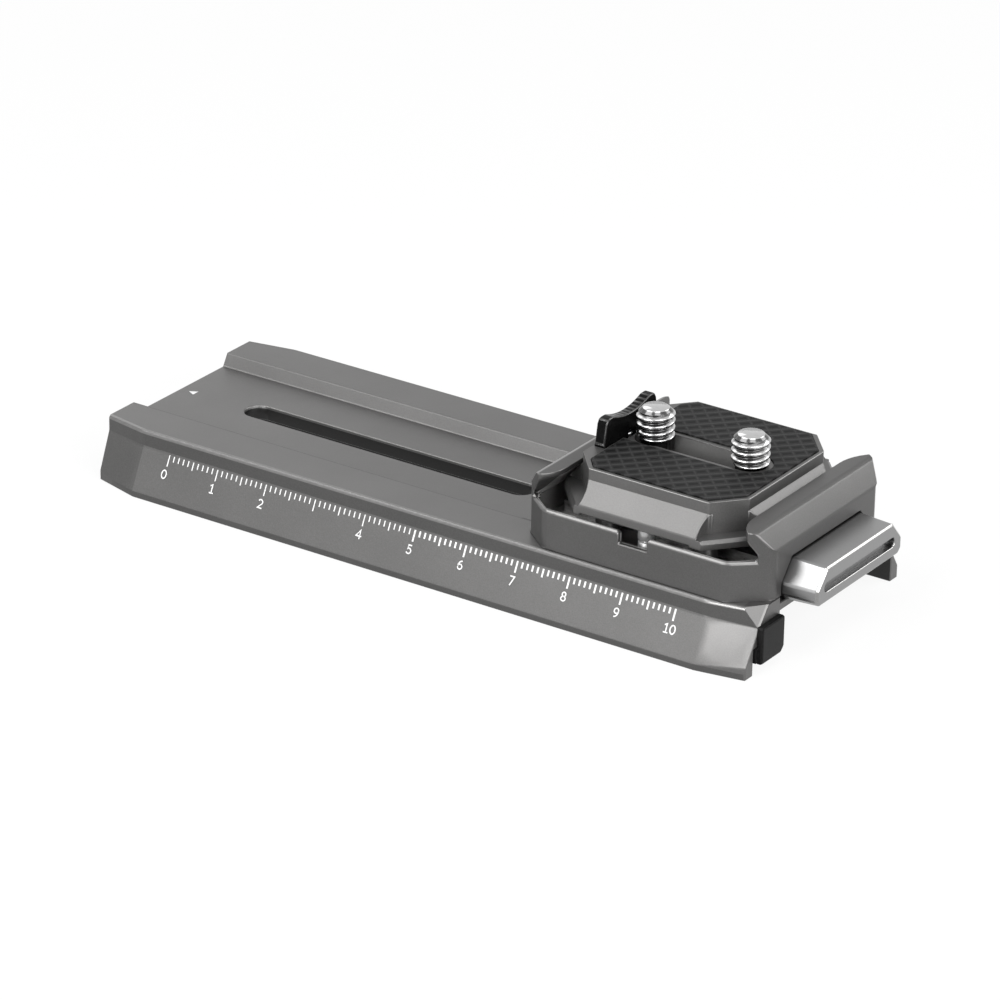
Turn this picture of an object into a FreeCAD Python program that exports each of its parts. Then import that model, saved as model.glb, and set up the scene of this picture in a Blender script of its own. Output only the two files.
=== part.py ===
import FreeCAD, Part
import math
import os

os.makedirs("parts", exist_ok=True)

# Millimetres, +Z up. While the pieces are built, x = 0 is the zero tick of the printed scale
# and x grows along the scale towards the clamp. y = 0 is the centre plane, z = 0 the ground.
# The export moves everything so that x = 0 is the middle of the whole object.

# Long plate
PLATE_LEFT_X = -14.2
PLATE_RIGHT_X = 114.2
LEFT_BEND_X = -5.6
RIGHT_BEND_X = PLATE_RIGHT_X - 8.7
FOOT_HALF = 25.0
FOOT_BAND_Z = 1.2
SLOPE_TOP_HALF = 21.6
SLOPE_TOP_Z = 8.15
RAIL_TOP_Z = 11.0
RAIL_BEVEL = 0.4
LEFT_FOOT_HALF = 22.6
LEFT_BAND_Z = 1.8
LEFT_SLOPE_HALF = 20.0
LEFT_SLOPE_Z = 8.3
RIGHT_FOOT_HALF = 23.5
RIGHT_BAND_Z = 2.2
RIGHT_SLOPE_HALF = 19.9
RIGHT_SLOPE_Z = 7.8
TRAY_TOP_HALF = 13.1
TRAY_FLOOR_HALF = 11.85
TRAY_FLOOR_Z = 8.9
TRAY_END_X = 67.2
TRAY_CORNER = 2.6
CHANNEL_HALF = 21.2
CHANNEL_ROOF_Z = 4.7
END_NOTCH_X = PLATE_RIGHT_X - 9.6
END_NOTCH_HALF = 13.6
END_NOTCH_ROOF_Z = 8.4
SLOT_LEFT_X = -0.1
SLOT_RIGHT_X = 58.4
SLOT_HALF = 2.48
SLOT_STEP_HALF = 4.6
SLOT_STEP_Z = 6.3
CORNER_CUT_TOP_X = PLATE_RIGHT_X - 2.8
CORNER_CUT_TOP_Y = 17.0
CORNER_CUT_LOW_Z = 7.55

# Camera plate
PLATE_MID_X = 90.85
BLOCK_HALF_X = 15.65
BLOCK_HALF_Y = 16.4
BLOCK_LEFT_X = PLATE_MID_X - BLOCK_HALF_X
BLOCK_RIGHT_X = PLATE_MID_X + BLOCK_HALF_X
BLOCK_CORNER_X = 4.4
BLOCK_CORNER_Y = 5.1
BLOCK_TOP_Z = 24.85
WING_TOP_Z = 22.9
WING_REACH = 3.2
SLAB_LOW_Z = 17.9
SLAB_TOP_Z = 19.45
SLAB_CORNER_X = 12.05
SLAB_CORNER_Y = 12.0
SLAB_BEVEL = 0.55
WING_HALF_X = BLOCK_HALF_X - 3.79
WING_HALF_Y = BLOCK_HALF_Y - 4.9
RELIEF_LEFT_X = PLATE_MID_X - 10.6
RELIEF_RIGHT_X = PLATE_MID_X + 9.6
RELIEF_Z = 18.2
FRONT_SCOOP = (BLOCK_HALF_X - 0.76, BLOCK_HALF_Y + 1.91, 4.0)
SIDE_SCOOP = (BLOCK_HALF_X + 2.1, BLOCK_HALF_Y - 2.94, 3.0)
PAD_RIM = 0.7
PAD_LEFT_X = BLOCK_LEFT_X + 2.8
PAD_FLOOR_Z = 24.3
PAD_TOP_Z = 25.1
PAD_SLOT_HALF = 3.75
SCREW_LEFT_X = BLOCK_LEFT_X + 6.45
SCREW_RIGHT_X = BLOCK_RIGHT_X - 6.9
SCREW_SLOT_HALF = 2.8
KEYHOLE_R = 3.4
HEAD_RECESS_HALF = 4.9
HEAD_RECESS_Z = 21.0

# Clamp outline in plan and heights
CLAMP_LEFT_X = 68.6
CLAMP_LEFT_HALF = 16.6
CLAMP_BEND_LEFT_X = 74.0
CLAMP_BEND_RIGHT_X = 108.3
CLAMP_RIGHT_HALF = 15.7
CLAMP_HALF = 20.9
WALL = 1.25
WALL_TOP_Z = 17.85
POCKET_FLOOR_Z = 12.95
SEAM_X = 76.6
JAW_CREST_Z = 22.9
JAW_CREST_IN = 2.55
JAW_SHOULDER_Z = 19.4
JAW_NOSE_TOP_Z = 22.75
LEFT_NOSE_X = BLOCK_LEFT_X - 1.1
LEFT_NOSE_LOW_Z = 21.95
LEFT_FLARE_START = 14.2
LEFT_FLARE_R = 7.2
RIGHT_NOSE_X = BLOCK_RIGHT_X + 1.85
RIGHT_NOSE_LOW_Z = 21.2
RIGHT_FLARE_START = 13.0
RIGHT_FLARE_R = 7.8
FLARE_END = 19.4
JAW_ROOT_Z = 18.9
SLIDE_LIFT = 0.05
NOTCH_LEFT_X = 88.3
NOTCH_RIGHT_X = 93.6
NOTCH_FLOOR_Z = 15.7

# Release button and what it moves
TRAVEL = 2.0
BUTTON_END_X = PLATE_RIGHT_X + 6.3
BUTTON_INNER_X = PLATE_RIGHT_X - 2.8
BUTTON_TOP_HALF = 10.4
BUTTON_MID_HALF = 13.3
BUTTON_LOW_HALF = 12.3
BUTTON_TOP_Z = 16.6
BUTTON_SHOULDER_Z = 13.1
BUTTON_HEEL_Z = 11.2
BUTTON_LOW_Z = 10.0
BUTTON_GROOVE_HALF = 10.0
BUTTON_GROOVE_R = 0.85
BUTTON_GROOVE_DEPTH = 1.0
BUTTON_GROOVE_Z = 13.0
BUTTON_FIT = 0.12
BUTTON_DRAFT = 0.25
BAY_LEFT_X = PLATE_RIGHT_X - 6.1
FRAME_LOW_Z = 13.0
FRAME_THICK = 2.0
FRAME_LEFT_X = 71.4
FRAME_RIGHT_X = PLATE_RIGHT_X - 0.8
FRAME_HALF = 10.6
FLANGE_RIGHT_X = 78.0
FLANGE_HALF = 12.0
SPRING_Y = 6.4
SPRING_LEFT_X = 88.0
SPRING_RIGHT_X = 98.0
SPRING_R = 1.05
SPRING_WIRE = 0.4
SPRING_Z = 14.35
SPRING_WINDOW_HALF = 1.7
SPRING_WINDOW_LEFT_X = 83.6
POST_THICK = 1.8

# Deck that the camera plate stands on
DECK_LOW_Z = 16.5
DECK_TOP_Z = 17.9
DECK_LEFT_X = 78.0
DECK_RIGHT_X = 104.0
DECK_CORNER = 2.6
DECK_HALF = 16.4
DECK_WAIST_HALF = 12.0
DECK_WAIST_LEFT_X = 86.5
DECK_WAIST_RIGHT_X = 95.5
DECK_POST_X = (DECK_LEFT_X + 3.8, DECK_RIGHT_X - 3.8)
DECK_POST_Y = DECK_HALF - 2.6
DECK_POST_R = 2.0
PIN_X = 91.5
PIN_Y = -17.3
PIN_R = 1.5
PIN_STEM_R = 1.45
PIN_GROOVE_Z = 15.55
PIN_TOP_Z = 19.3

# Camera screws
THREAD_R = 3.175
THREAD_ROOT_R = 2.6
THREAD_PITCH = 1.27
SCREW_TOP_Z = 30.3
SCREW_TIP_R = 2.0
THREAD_LOW_Z = 25.0
NECK_R = 2.45
HEAD_R = 4.4
HEAD_LOW_Z = 18.2
HEAD_TOP_Z = 20.3
WASHER_R = 4.6
WASHER_THICK = 0.6
SOCKET_R = 1.75
SOCKET_DEPTH = 1.3

# Fold-down flap
FLAP_OUT_X = BLOCK_LEFT_X + 0.25
FLAP_THICK = 1.9
FLAP_MID_Y = -0.45
FLAP_HALF = 7.95
FLAP_TOP_HALF = 7.15
FLAP_TOP_Z = 29.4
FLAP_DIP_Z = 28.35
FLAP_DIP_HALF = 5.3
FLAP_PIN_Z = 24.0
FLAP_PIN_R = 0.5
FLAP_PIN_HALF = 10.9
FLAP_BAY_FLOOR_Z = FLAP_PIN_Z - FLAP_THICK / 2 - 0.1
FLAP_GAP = 0.15
HINGE_BAY_X = BLOCK_LEFT_X + 3.0
HINGE_BAY_LOW_Y = -3.0
HINGE_BAY_HIGH_Y = 3.8
WINDOW_TOP_Z = 25.3
WINDOWS = ((-1.25, 1.0), (2.1, 3.4))

# Safety stop under the front rail
STOP_TAB_X = PLATE_RIGHT_X + 0.05
STOP_END_X = STOP_TAB_X + 1.05
STOP_LEFT_X = STOP_TAB_X - 19.25
STOP_OUT_Y = -21.1
STOP_IN_Y = -13.7
STOP_LOW_Z = 2.2
STOP_TOP_Z = 4.65
STOP_TAB_OUT_Y = -20.4
STOP_TAB_LOW_Z = 1.9
STOP_TAB_TOP_Z = 8.2
STOP_TRAVEL = 2.0
STOP_SCREW_X = (STOP_TAB_X - 11.25, STOP_TAB_X - 3.65)
STOP_SCREW_Y = -16.9
STOP_SCREW_R = 1.3
STOP_SPRING_X = STOP_TAB_X - 16.25
STOP_SPRING_R = 0.7
STOP_SPRING_WIRE = 0.3
STOP_SPRING_Z = 3.4
STOP_SPRING_OUT_Y = -18.4
STOP_POST_Y = -10.2
STOP_POST_R = 1.3
STOP_POST_TOP_Z = 8.0

# Fasteners
CLAMP_SCREW_X = (83.5, 101.5)
CLAMP_SCREW_Y = 5.5
CLAMP_SCREW_R = 2.0
CLAMP_HEAD_R = 3.9
SMALL_SCREW_R = 1.1
SMALL_HEAD_R = 2.0
SMALL_SOCKET = 0.65
DECK_SCREW_LOW_Z = 12.0
FRAME_SCREW_X = 74.6
FRAME_SCREW_Y = 7.5
FRAME_SCREW_LOW_Z = 11.5
BUTTON_SCREW_X = PLATE_RIGHT_X - 1.8
BUTTON_SCREW_Y = 7.0
FRAME_OPENING_LEFT_X = 80.0
FRAME_OPENING_RIGHT_X = PLATE_RIGHT_X - 7.2
FRAME_OPENING_HALF = 3.0
FIT = 0.04

X_MIDDLE = (PLATE_LEFT_X + BUTTON_END_X) / 2


def vec(x, y, z):
    return FreeCAD.Vector(x, y, z)


def face_of(points):
    wire = Part.makePolygon([vec(*p) for p in points] + [vec(*points[0])])
    return Part.Face(wire)


def prism_x(section, x0, x1):
    """Section points are (y, z)."""
    face = face_of([(x0, y, z) for y, z in section])
    return face.extrude(vec(x1 - x0, 0, 0))


def prism_y(section, y0, y1):
    """Section points are (x, z)."""
    face = face_of([(x, y0, z) for x, z in section])
    return face.extrude(vec(0, y1 - y0, 0))


def prism_z(outline, z0, z1):
    """Outline points are (x, y)."""
    face = face_of([(x, y, z0) for x, y in outline])
    return face.extrude(vec(0, 0, z1 - z0))


def block(x0, x1, y0, y1, z0, z1):
    return Part.makeBox(x1 - x0, y1 - y0, z1 - z0, vec(x0, y0, z0))


def rod_z(r, x, y, z0, z1):
    return Part.makeCylinder(r, z1 - z0, vec(x, y, z0), vec(0, 0, 1))


def rod_y(r, x, z, y0, y1):
    return Part.makeCylinder(r, y1 - y0, vec(x, y0, z), vec(0, 1, 0))


def slot_z(x0, x1, y, r, z0, z1):
    """Upright slot with round ends, centres at x0 and x1."""
    body = block(x0, x1, y - r, y + r, z0, z1)
    return body.fuse([rod_z(r, x0, y, z0, z1), rod_z(r, x1, y, z0, z1)]).removeSplitter()


def revolve_z(profile, x, y):
    """Profile points are (radius, z)."""
    face = face_of([(x + r, y, z) for r, z in profile])
    return face.revolve(vec(x, y, 0), vec(0, 0, 1), 360)


def coil(x0, y0, z0, axis, length, radius, wire, turns):
    """Square-wire coil with short straight runs, flat ends one turn each."""
    per_turn = 10
    steps = turns * per_turn
    points = []
    for i in range(steps + 1):
        a = 2 * math.pi * i / per_turn
        t = wire / 2 + (length - wire) * i / steps
        c = radius * math.cos(a)
        s = radius * math.sin(a)
        if axis == "x":
            points.append(vec(x0 + t, y0 + c, z0 + s))
        else:
            points.append(vec(x0 + c, y0 + t, z0 + s))
    path = Part.makePolygon(points)
    first = points[0]
    run = points[1] - points[0]
    run.normalize()
    side = vec(1, 0, 0) if axis == "x" else vec(0, 1, 0)
    other = run.cross(side)
    other.normalize()
    third = run.cross(other)
    third.normalize()
    half = wire / 2
    ring = []
    for a, b in ((-half, -half), (half, -half), (half, half), (-half, half)):
        ring.append(first + other * a + third * b)
    profile = Part.makePolygon(ring + [ring[0]])
    return Part.Wire(path.Edges).makePipeShell([profile], True, False, 1)


def export(shape, node):
    moved = shape.copy()
    moved.translate(vec(-X_MIDDLE, 0, 0))
    moved.exportStep("parts/" + node + ".step")


def outer_section(foot, band_z, slope_half, slope_z):
    top = slope_half - RAIL_BEVEL
    right = [(foot, 0), (foot, band_z), (slope_half, slope_z)]
    right += [(slope_half, RAIL_TOP_Z - RAIL_BEVEL), (top, RAIL_TOP_Z)]
    return right + [(-y, z) for y, z in reversed(right)]


def lead_in(x0, section0, x1, section1):
    wires = []
    for x, section in ((x0, section0), (x1, section1)):
        points = [vec(x, y, z) for y, z in section]
        wires.append(Part.makePolygon(points + [points[0]]))
    return Part.makeLoft(wires, True, True)


def tray():
    section = [(-TRAY_FLOOR_HALF, TRAY_FLOOR_Z), (TRAY_FLOOR_HALF, TRAY_FLOOR_Z)]
    section += [(TRAY_TOP_HALF, RAIL_TOP_Z), (TRAY_TOP_HALF, RAIL_TOP_Z + 1)]
    section += [(-TRAY_TOP_HALF, RAIL_TOP_Z + 1), (-TRAY_TOP_HALF, RAIL_TOP_Z)]
    body = prism_x(section, PLATE_LEFT_X - 1, TRAY_END_X)
    for s in (-1, 1):
        corner = prism_z([(TRAY_END_X - TRAY_CORNER, s * (TRAY_TOP_HALF + 0.2)),
                          (TRAY_END_X + 0.2, s * (TRAY_TOP_HALF + 0.2)),
                          (TRAY_END_X + 0.2, s * (TRAY_TOP_HALF - TRAY_CORNER))],
                         TRAY_FLOOR_Z - 1, RAIL_TOP_Z + 2)
        body = body.cut(corner)
    return body


def base_plate():
    main = outer_section(FOOT_HALF, FOOT_BAND_Z, SLOPE_TOP_HALF, SLOPE_TOP_Z)
    left = outer_section(LEFT_FOOT_HALF, LEFT_BAND_Z, LEFT_SLOPE_HALF, LEFT_SLOPE_Z)
    right = outer_section(RIGHT_FOOT_HALF, RIGHT_BAND_Z, RIGHT_SLOPE_HALF, RIGHT_SLOPE_Z)
    body = prism_x(main, LEFT_BEND_X, RIGHT_BEND_X)
    body = body.fuse([lead_in(PLATE_LEFT_X, left, LEFT_BEND_X, main),
                      lead_in(RIGHT_BEND_X, main, PLATE_RIGHT_X, right)])
    body = body.cut(tray())
    channel = block(PLATE_LEFT_X - 1, PLATE_RIGHT_X + 1, -CHANNEL_HALF, CHANNEL_HALF,
                    -1, CHANNEL_ROOF_Z)
    end_notch = block(END_NOTCH_X, PLATE_RIGHT_X + 1, -END_NOTCH_HALF, END_NOTCH_HALF,
                      CHANNEL_ROOF_Z - 1, END_NOTCH_ROOF_Z)
    button_bay = block(BAY_LEFT_X, PLATE_RIGHT_X + 1, -BUTTON_MID_HALF - 0.3,
                       BUTTON_MID_HALF + 0.3, BUTTON_LOW_Z - BUTTON_FIT, RAIL_TOP_Z + 1)
    slot = slot_z(SLOT_LEFT_X + SLOT_HALF, SLOT_RIGHT_X - SLOT_HALF, 0, SLOT_HALF,
                  CHANNEL_ROOF_Z - 1, TRAY_FLOOR_Z + 1)
    step = slot_z(SLOT_LEFT_X + SLOT_HALF, SLOT_RIGHT_X - SLOT_HALF, 0, SLOT_STEP_HALF,
                  CHANNEL_ROOF_Z - 1, SLOT_STEP_Z)
    body = body.cut([channel, end_notch, button_bay, slot, step])
    cuts = []
    for s in (-1, 1):
        a = vec(CORNER_CUT_TOP_X, s * RIGHT_SLOPE_HALF * 1.03, RAIL_TOP_Z)
        b = vec(PLATE_RIGHT_X, s * CORNER_CUT_TOP_Y, RAIL_TOP_Z)
        c = vec(PLATE_RIGHT_X, s * RIGHT_SLOPE_HALF, CORNER_CUT_LOW_Z)
        d = vec(PLATE_RIGHT_X + 3, s * (RIGHT_SLOPE_HALF + 3), RAIL_TOP_Z + 3)
        a = a + (a - b) * 0.6
        b = b + (b - a) * 0.2
        tri = [Part.Face(Part.makePolygon(f + [f[0]]))
               for f in ([a, b, c], [a, b, d], [b, c, d], [c, a, d])]
        cuts.append(Part.Solid(Part.Shell(tri)))
    body = body.cut(cuts)
    holes = []
    for x in CLAMP_SCREW_X:
        for s in (-1, 1):
            holes.append(clamp_screw(x, s * CLAMP_SCREW_Y, FIT))
    for x in STOP_SCREW_X:
        holes.append(rod_z(STOP_SCREW_R + FIT, x, STOP_SCREW_Y, CHANNEL_ROOF_Z - 1, 8.6))
    holes.append(rod_z(STOP_POST_R + FIT, STOP_SPRING_X, STOP_POST_Y, CHANNEL_ROOF_Z - 1,
                       STOP_POST_TOP_Z + FIT))
    return body.cut(holes)


def clamp_screw(x, y, grow):
    low = CHANNEL_ROOF_Z - (0.5 if grow else 0)
    head = CLAMP_HEAD_R + grow
    shank = CLAMP_SCREW_R + grow
    profile = [(0, low), (head, low), (head, CHANNEL_ROOF_Z + 0.3)]
    profile += [(shank, CHANNEL_ROOF_Z + 0.3 + head - shank), (shank, 12.2 + grow)]
    profile += [(0, 12.2 + grow)]
    return revolve_z(profile, x, y)


def clamp_screws():
    screws = []
    for x in CLAMP_SCREW_X:
        for s in (-1, 1):
            screw = clamp_screw(x, s * CLAMP_SCREW_Y, 0)
            socket = hexagon(1.25, x, s * CLAMP_SCREW_Y, CHANNEL_ROOF_Z - 0.5, CHANNEL_ROOF_Z + 1.6)
            screws.append(screw.cut(socket))
    return Part.makeCompound(screws)


def hexagon(half_flat, x, y, z0, z1):
    r = half_flat / math.cos(math.pi / 6)
    points = []
    for i in range(6):
        a = math.radians(60 * i)
        points.append((x + r * math.cos(a), y + r * math.sin(a)))
    return prism_z(points, z0, z1)


def clamp_outline(inset=0.0):
    """Plan outline of the clamp, moved inwards by inset."""
    left = CLAMP_LEFT_X
    right = PLATE_RIGHT_X
    points = [(left, -CLAMP_LEFT_HALF), (CLAMP_BEND_LEFT_X, -CLAMP_HALF)]
    points += [(CLAMP_BEND_RIGHT_X, -CLAMP_HALF), (right, -CLAMP_RIGHT_HALF)]
    points += [(right, CLAMP_RIGHT_HALF), (CLAMP_BEND_RIGHT_X, CLAMP_HALF)]
    points += [(CLAMP_BEND_LEFT_X, CLAMP_HALF), (left, CLAMP_LEFT_HALF)]
    if not inset:
        return points
    count = len(points)
    moved = []
    for i in range(count):
        p, q, r = points[i - 1], points[i], points[(i + 1) % count]
        n1 = inward(p, q)
        n2 = inward(q, r)
        k = 1 + n1[0] * n2[0] + n1[1] * n2[1]
        moved.append((q[0] + inset * (n1[0] + n2[0]) / k, q[1] + inset * (n1[1] + n2[1]) / k))
    return moved


def inward(p, q):
    length = math.hypot(q[0] - p[0], q[1] - p[1])
    return (-(q[1] - p[1]) / length, (q[0] - p[0]) / length)


def jaw_cavity(side):
    """Space in front of a jaw. side is 1 for the right jaw and -1 for the left one."""
    nose_x = RIGHT_NOSE_X if side > 0 else LEFT_NOSE_X
    low_z = RIGHT_NOSE_LOW_Z if side > 0 else LEFT_NOSE_LOW_Z
    start = RIGHT_FLARE_START if side > 0 else LEFT_FLARE_START
    radius = RIGHT_FLARE_R if side > 0 else LEFT_FLARE_R
    deep = nose_x + side * (low_z - JAW_ROOT_Z)
    section = [(0, WALL_TOP_Z - 6), (deep, WALL_TOP_Z - 6), (deep, JAW_ROOT_Z)]
    section += [(nose_x, low_z), (nose_x, JAW_CREST_Z + 1), (0, JAW_CREST_Z + 1)]
    count = 6
    stations = [(start + (FLARE_END - start) * i / count) for i in range(count + 1)] + [30]
    wires = []
    for y in [-v for v in reversed(stations)] + stations:
        over = min(abs(y), FLARE_END) - start
        shift = side * (radius - math.sqrt(radius ** 2 - over ** 2))
        points = [vec(x + shift if x else PLATE_MID_X, y, z) for x, z in section]
        wires.append(Part.makePolygon(points + [points[0]]))
    return Part.makeLoft(wires, True, True)


def jaw_bar(side):
    """Jaw with its shoulder slope, before the cavity is taken out."""
    wall_x = PLATE_RIGHT_X if side > 0 else CLAMP_LEFT_X
    nose_x = RIGHT_NOSE_X if side > 0 else LEFT_NOSE_X
    crest_x = wall_x - side * JAW_CREST_IN
    section = [(wall_x, WALL_TOP_Z), (wall_x, JAW_SHOULDER_Z), (crest_x, JAW_CREST_Z)]
    section += [(nose_x, JAW_NOSE_TOP_Z), (nose_x, WALL_TOP_Z)]
    bar = prism_y(section, -CLAMP_HALF, CLAMP_HALF)
    bar = bar.common(prism_z(clamp_outline(), WALL_TOP_Z, JAW_CREST_Z + 1))
    return bar.cut(jaw_cavity(side))


def button_section(grow):
    right = [(BUTTON_LOW_HALF + grow, BUTTON_LOW_Z - grow), (BUTTON_MID_HALF + grow, BUTTON_HEEL_Z)]
    right += [(BUTTON_MID_HALF + grow, BUTTON_SHOULDER_Z)]
    right += [(BUTTON_TOP_HALF + grow, BUTTON_TOP_Z + grow)]
    return right + [(-y, z) for y, z in reversed(right)]


def clamp_body():
    ring = prism_z(clamp_outline(), RAIL_TOP_Z, WALL_TOP_Z)
    ring = ring.cut(prism_z(clamp_outline(WALL), POCKET_FLOOR_Z, WALL_TOP_Z + 1))
    body = ring.fuse(jaw_bar(1))
    body = body.cut(block(CLAMP_LEFT_X - 1, SEAM_X, -30, 30, RAIL_TOP_Z - 1, 30))
    flange_room = block(SEAM_X - 1, FLANGE_RIGHT_X + 0.6, -FLANGE_HALF - 0.2, FLANGE_HALF + 0.2,
                        RAIL_TOP_Z - 1, POCKET_FLOOR_Z + 1)
    bay = block(BAY_LEFT_X, PLATE_RIGHT_X - WALL, -BUTTON_MID_HALF - 0.3,
                BUTTON_MID_HALF + 0.3, RAIL_TOP_Z - 1, WALL_TOP_Z - 0.3)
    window = prism_x(button_section(BUTTON_FIT), PLATE_RIGHT_X - WALL - 1, PLATE_RIGHT_X + 1)
    notch = block(NOTCH_LEFT_X, NOTCH_RIGHT_X, -CLAMP_HALF - 1, -CLAMP_HALF + WALL + 0.5,
                  NOTCH_FLOOR_Z, WALL_TOP_Z + 1)
    back_notch = block(NOTCH_LEFT_X, NOTCH_RIGHT_X, CLAMP_HALF - WALL - 0.5, CLAMP_HALF + 1,
                       NOTCH_FLOOR_Z, WALL_TOP_Z + 1)
    body = body.cut([flange_room, bay, window, notch, back_notch])
    adds = []
    for x in DECK_POST_X:
        for s in (-1, 1):
            adds.append(rod_z(DECK_POST_R, x, s * DECK_POST_Y, POCKET_FLOOR_Z - 1, DECK_LOW_Z))
    for s in (-1, 1):
        y = s * SPRING_Y
        adds.append(block(SPRING_LEFT_X - POST_THICK, SPRING_LEFT_X, y - 1.3, y + 1.3,
                          POCKET_FLOOR_Z - 1, SPRING_Z + 1.2))
    body = body.fuse(adds)
    holes = [rod_z(PIN_R + FIT, PIN_X, PIN_Y, RAIL_TOP_Z + 0.5, POCKET_FLOOR_Z + 1)]
    for x in DECK_POST_X:
        for s in (-1, 1):
            holes.append(small_screw(x, s * DECK_POST_Y, DECK_TOP_Z, DECK_SCREW_LOW_Z, FIT))
    for x in CLAMP_SCREW_X:
        for s in (-1, 1):
            holes.append(clamp_screw(x, s * CLAMP_SCREW_Y, FIT))
    return body.cut(holes).removeSplitter()


def small_screw(x, y, top_z, low_z, grow):
    head = SMALL_HEAD_R + grow
    shank = SMALL_SCREW_R + grow
    top = top_z + (0.5 if grow else 0)
    profile = [(0, low_z - grow), (shank, low_z - grow), (shank, top_z - (head - shank))]
    profile += [(head, top_z), (head, top), (0, top)]
    if not grow:
        profile = profile[:4] + [(0, top_z)]
    return revolve_z(profile, x, y)


def socketed(screws, half_flat, depth, up=True):
    done = []
    for screw, x, y, z in screws:
        low, high = (z - depth, z + 0.5) if up else (z - 0.5, z + depth)
        done.append(screw.cut(hexagon(half_flat, x, y, low, high)))
    return Part.makeCompound(done)


def deck_plate():
    cut = DECK_CORNER
    outline = [(DECK_LEFT_X, -DECK_HALF + cut), (DECK_LEFT_X + cut, -DECK_HALF)]
    outline += [(DECK_WAIST_LEFT_X, -DECK_HALF), (DECK_WAIST_LEFT_X, -DECK_WAIST_HALF)]
    outline += [(DECK_WAIST_RIGHT_X, -DECK_WAIST_HALF), (DECK_WAIST_RIGHT_X, -DECK_HALF)]
    outline += [(DECK_RIGHT_X - cut, -DECK_HALF), (DECK_RIGHT_X, -DECK_HALF + cut)]
    outline += [(x, -y) for x, y in reversed(outline)]
    deck = prism_z(outline, DECK_LOW_Z, DECK_TOP_Z)
    holes = []
    for x in DECK_POST_X:
        for s in (-1, 1):
            holes.append(small_screw(x, s * DECK_POST_Y, DECK_TOP_Z, DECK_SCREW_LOW_Z, FIT))
    return deck.cut(holes)


def deck_screws():
    screws = []
    for x in DECK_POST_X:
        for s in (-1, 1):
            y = s * DECK_POST_Y
            screws.append((small_screw(x, y, DECK_TOP_Z, DECK_SCREW_LOW_Z, 0), x, y, DECK_TOP_Z))
    return socketed(screws, SMALL_SOCKET, 0.9)


def locating_pin():
    low = RAIL_TOP_Z + 0.55
    groove = PIN_GROOVE_Z
    profile = [(0, low), (PIN_R, low), (PIN_R, POCKET_FLOOR_Z + 0.3)]
    profile += [(PIN_STEM_R, POCKET_FLOOR_Z + 0.3), (PIN_STEM_R, groove - 0.2)]
    profile += [(PIN_STEM_R - 0.3, groove - 0.2), (PIN_STEM_R - 0.3, groove + 0.15)]
    profile += [(PIN_R, groove + 0.15), (PIN_R, PIN_TOP_Z - 0.4)]
    profile += [(PIN_R - 0.4, PIN_TOP_Z), (0, PIN_TOP_Z)]
    return revolve_z(profile, PIN_X, PIN_Y)


def sliding_jaw():
    ring = prism_z(clamp_outline(), RAIL_TOP_Z + SLIDE_LIFT, WALL_TOP_Z)
    ring = ring.cut(prism_z(clamp_outline(WALL), RAIL_TOP_Z, WALL_TOP_Z + 1))
    ring = ring.common(block(CLAMP_LEFT_X - 1, SEAM_X, -30, 30, RAIL_TOP_Z, 30))
    jaw = ring.fuse(jaw_bar(-1))
    flange = block(CLAMP_LEFT_X + WALL - 0.5, FLANGE_RIGHT_X, -FLANGE_HALF, FLANGE_HALF,
                   RAIL_TOP_Z + SLIDE_LIFT, FRAME_LOW_Z)
    jaw = jaw.fuse(flange)
    holes = []
    for s in (-1, 1):
        holes.append(frame_screw(s, FIT))
    return jaw.cut(holes).removeSplitter()


def slider_frame():
    top = FRAME_LOW_Z + FRAME_THICK
    frame = block(FRAME_LEFT_X, FRAME_RIGHT_X, -FRAME_HALF, FRAME_HALF, FRAME_LOW_Z, top)
    cuts = []
    for s in (-1, 1):
        y = s * SPRING_Y
        cuts.append(block(SPRING_WINDOW_LEFT_X, SPRING_RIGHT_X, y - SPRING_WINDOW_HALF,
                          y + SPRING_WINDOW_HALF, FRAME_LOW_Z - 1, top + 1))
        cuts.append(frame_screw(s, FIT))
        cuts.append(rod_z(SMALL_SCREW_R + FIT, BUTTON_SCREW_X, s * BUTTON_SCREW_Y,
                          FRAME_LOW_Z - 1, top + 1))
    cuts.append(block(FRAME_OPENING_LEFT_X, FRAME_OPENING_RIGHT_X, -FRAME_OPENING_HALF,
                      FRAME_OPENING_HALF, FRAME_LOW_Z - 1, top + 1))
    return frame.cut(cuts)


def frame_screw(s, grow):
    return small_screw(FRAME_SCREW_X, s * FRAME_SCREW_Y, FRAME_LOW_Z + FRAME_THICK,
                       FRAME_SCREW_LOW_Z, grow)


def frame_screws():
    top = FRAME_LOW_Z + FRAME_THICK
    screws = []
    for s in (-1, 1):
        screws.append((frame_screw(s, 0), FRAME_SCREW_X, s * FRAME_SCREW_Y, top))
    return socketed(screws, SMALL_SOCKET, 0.8)


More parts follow.
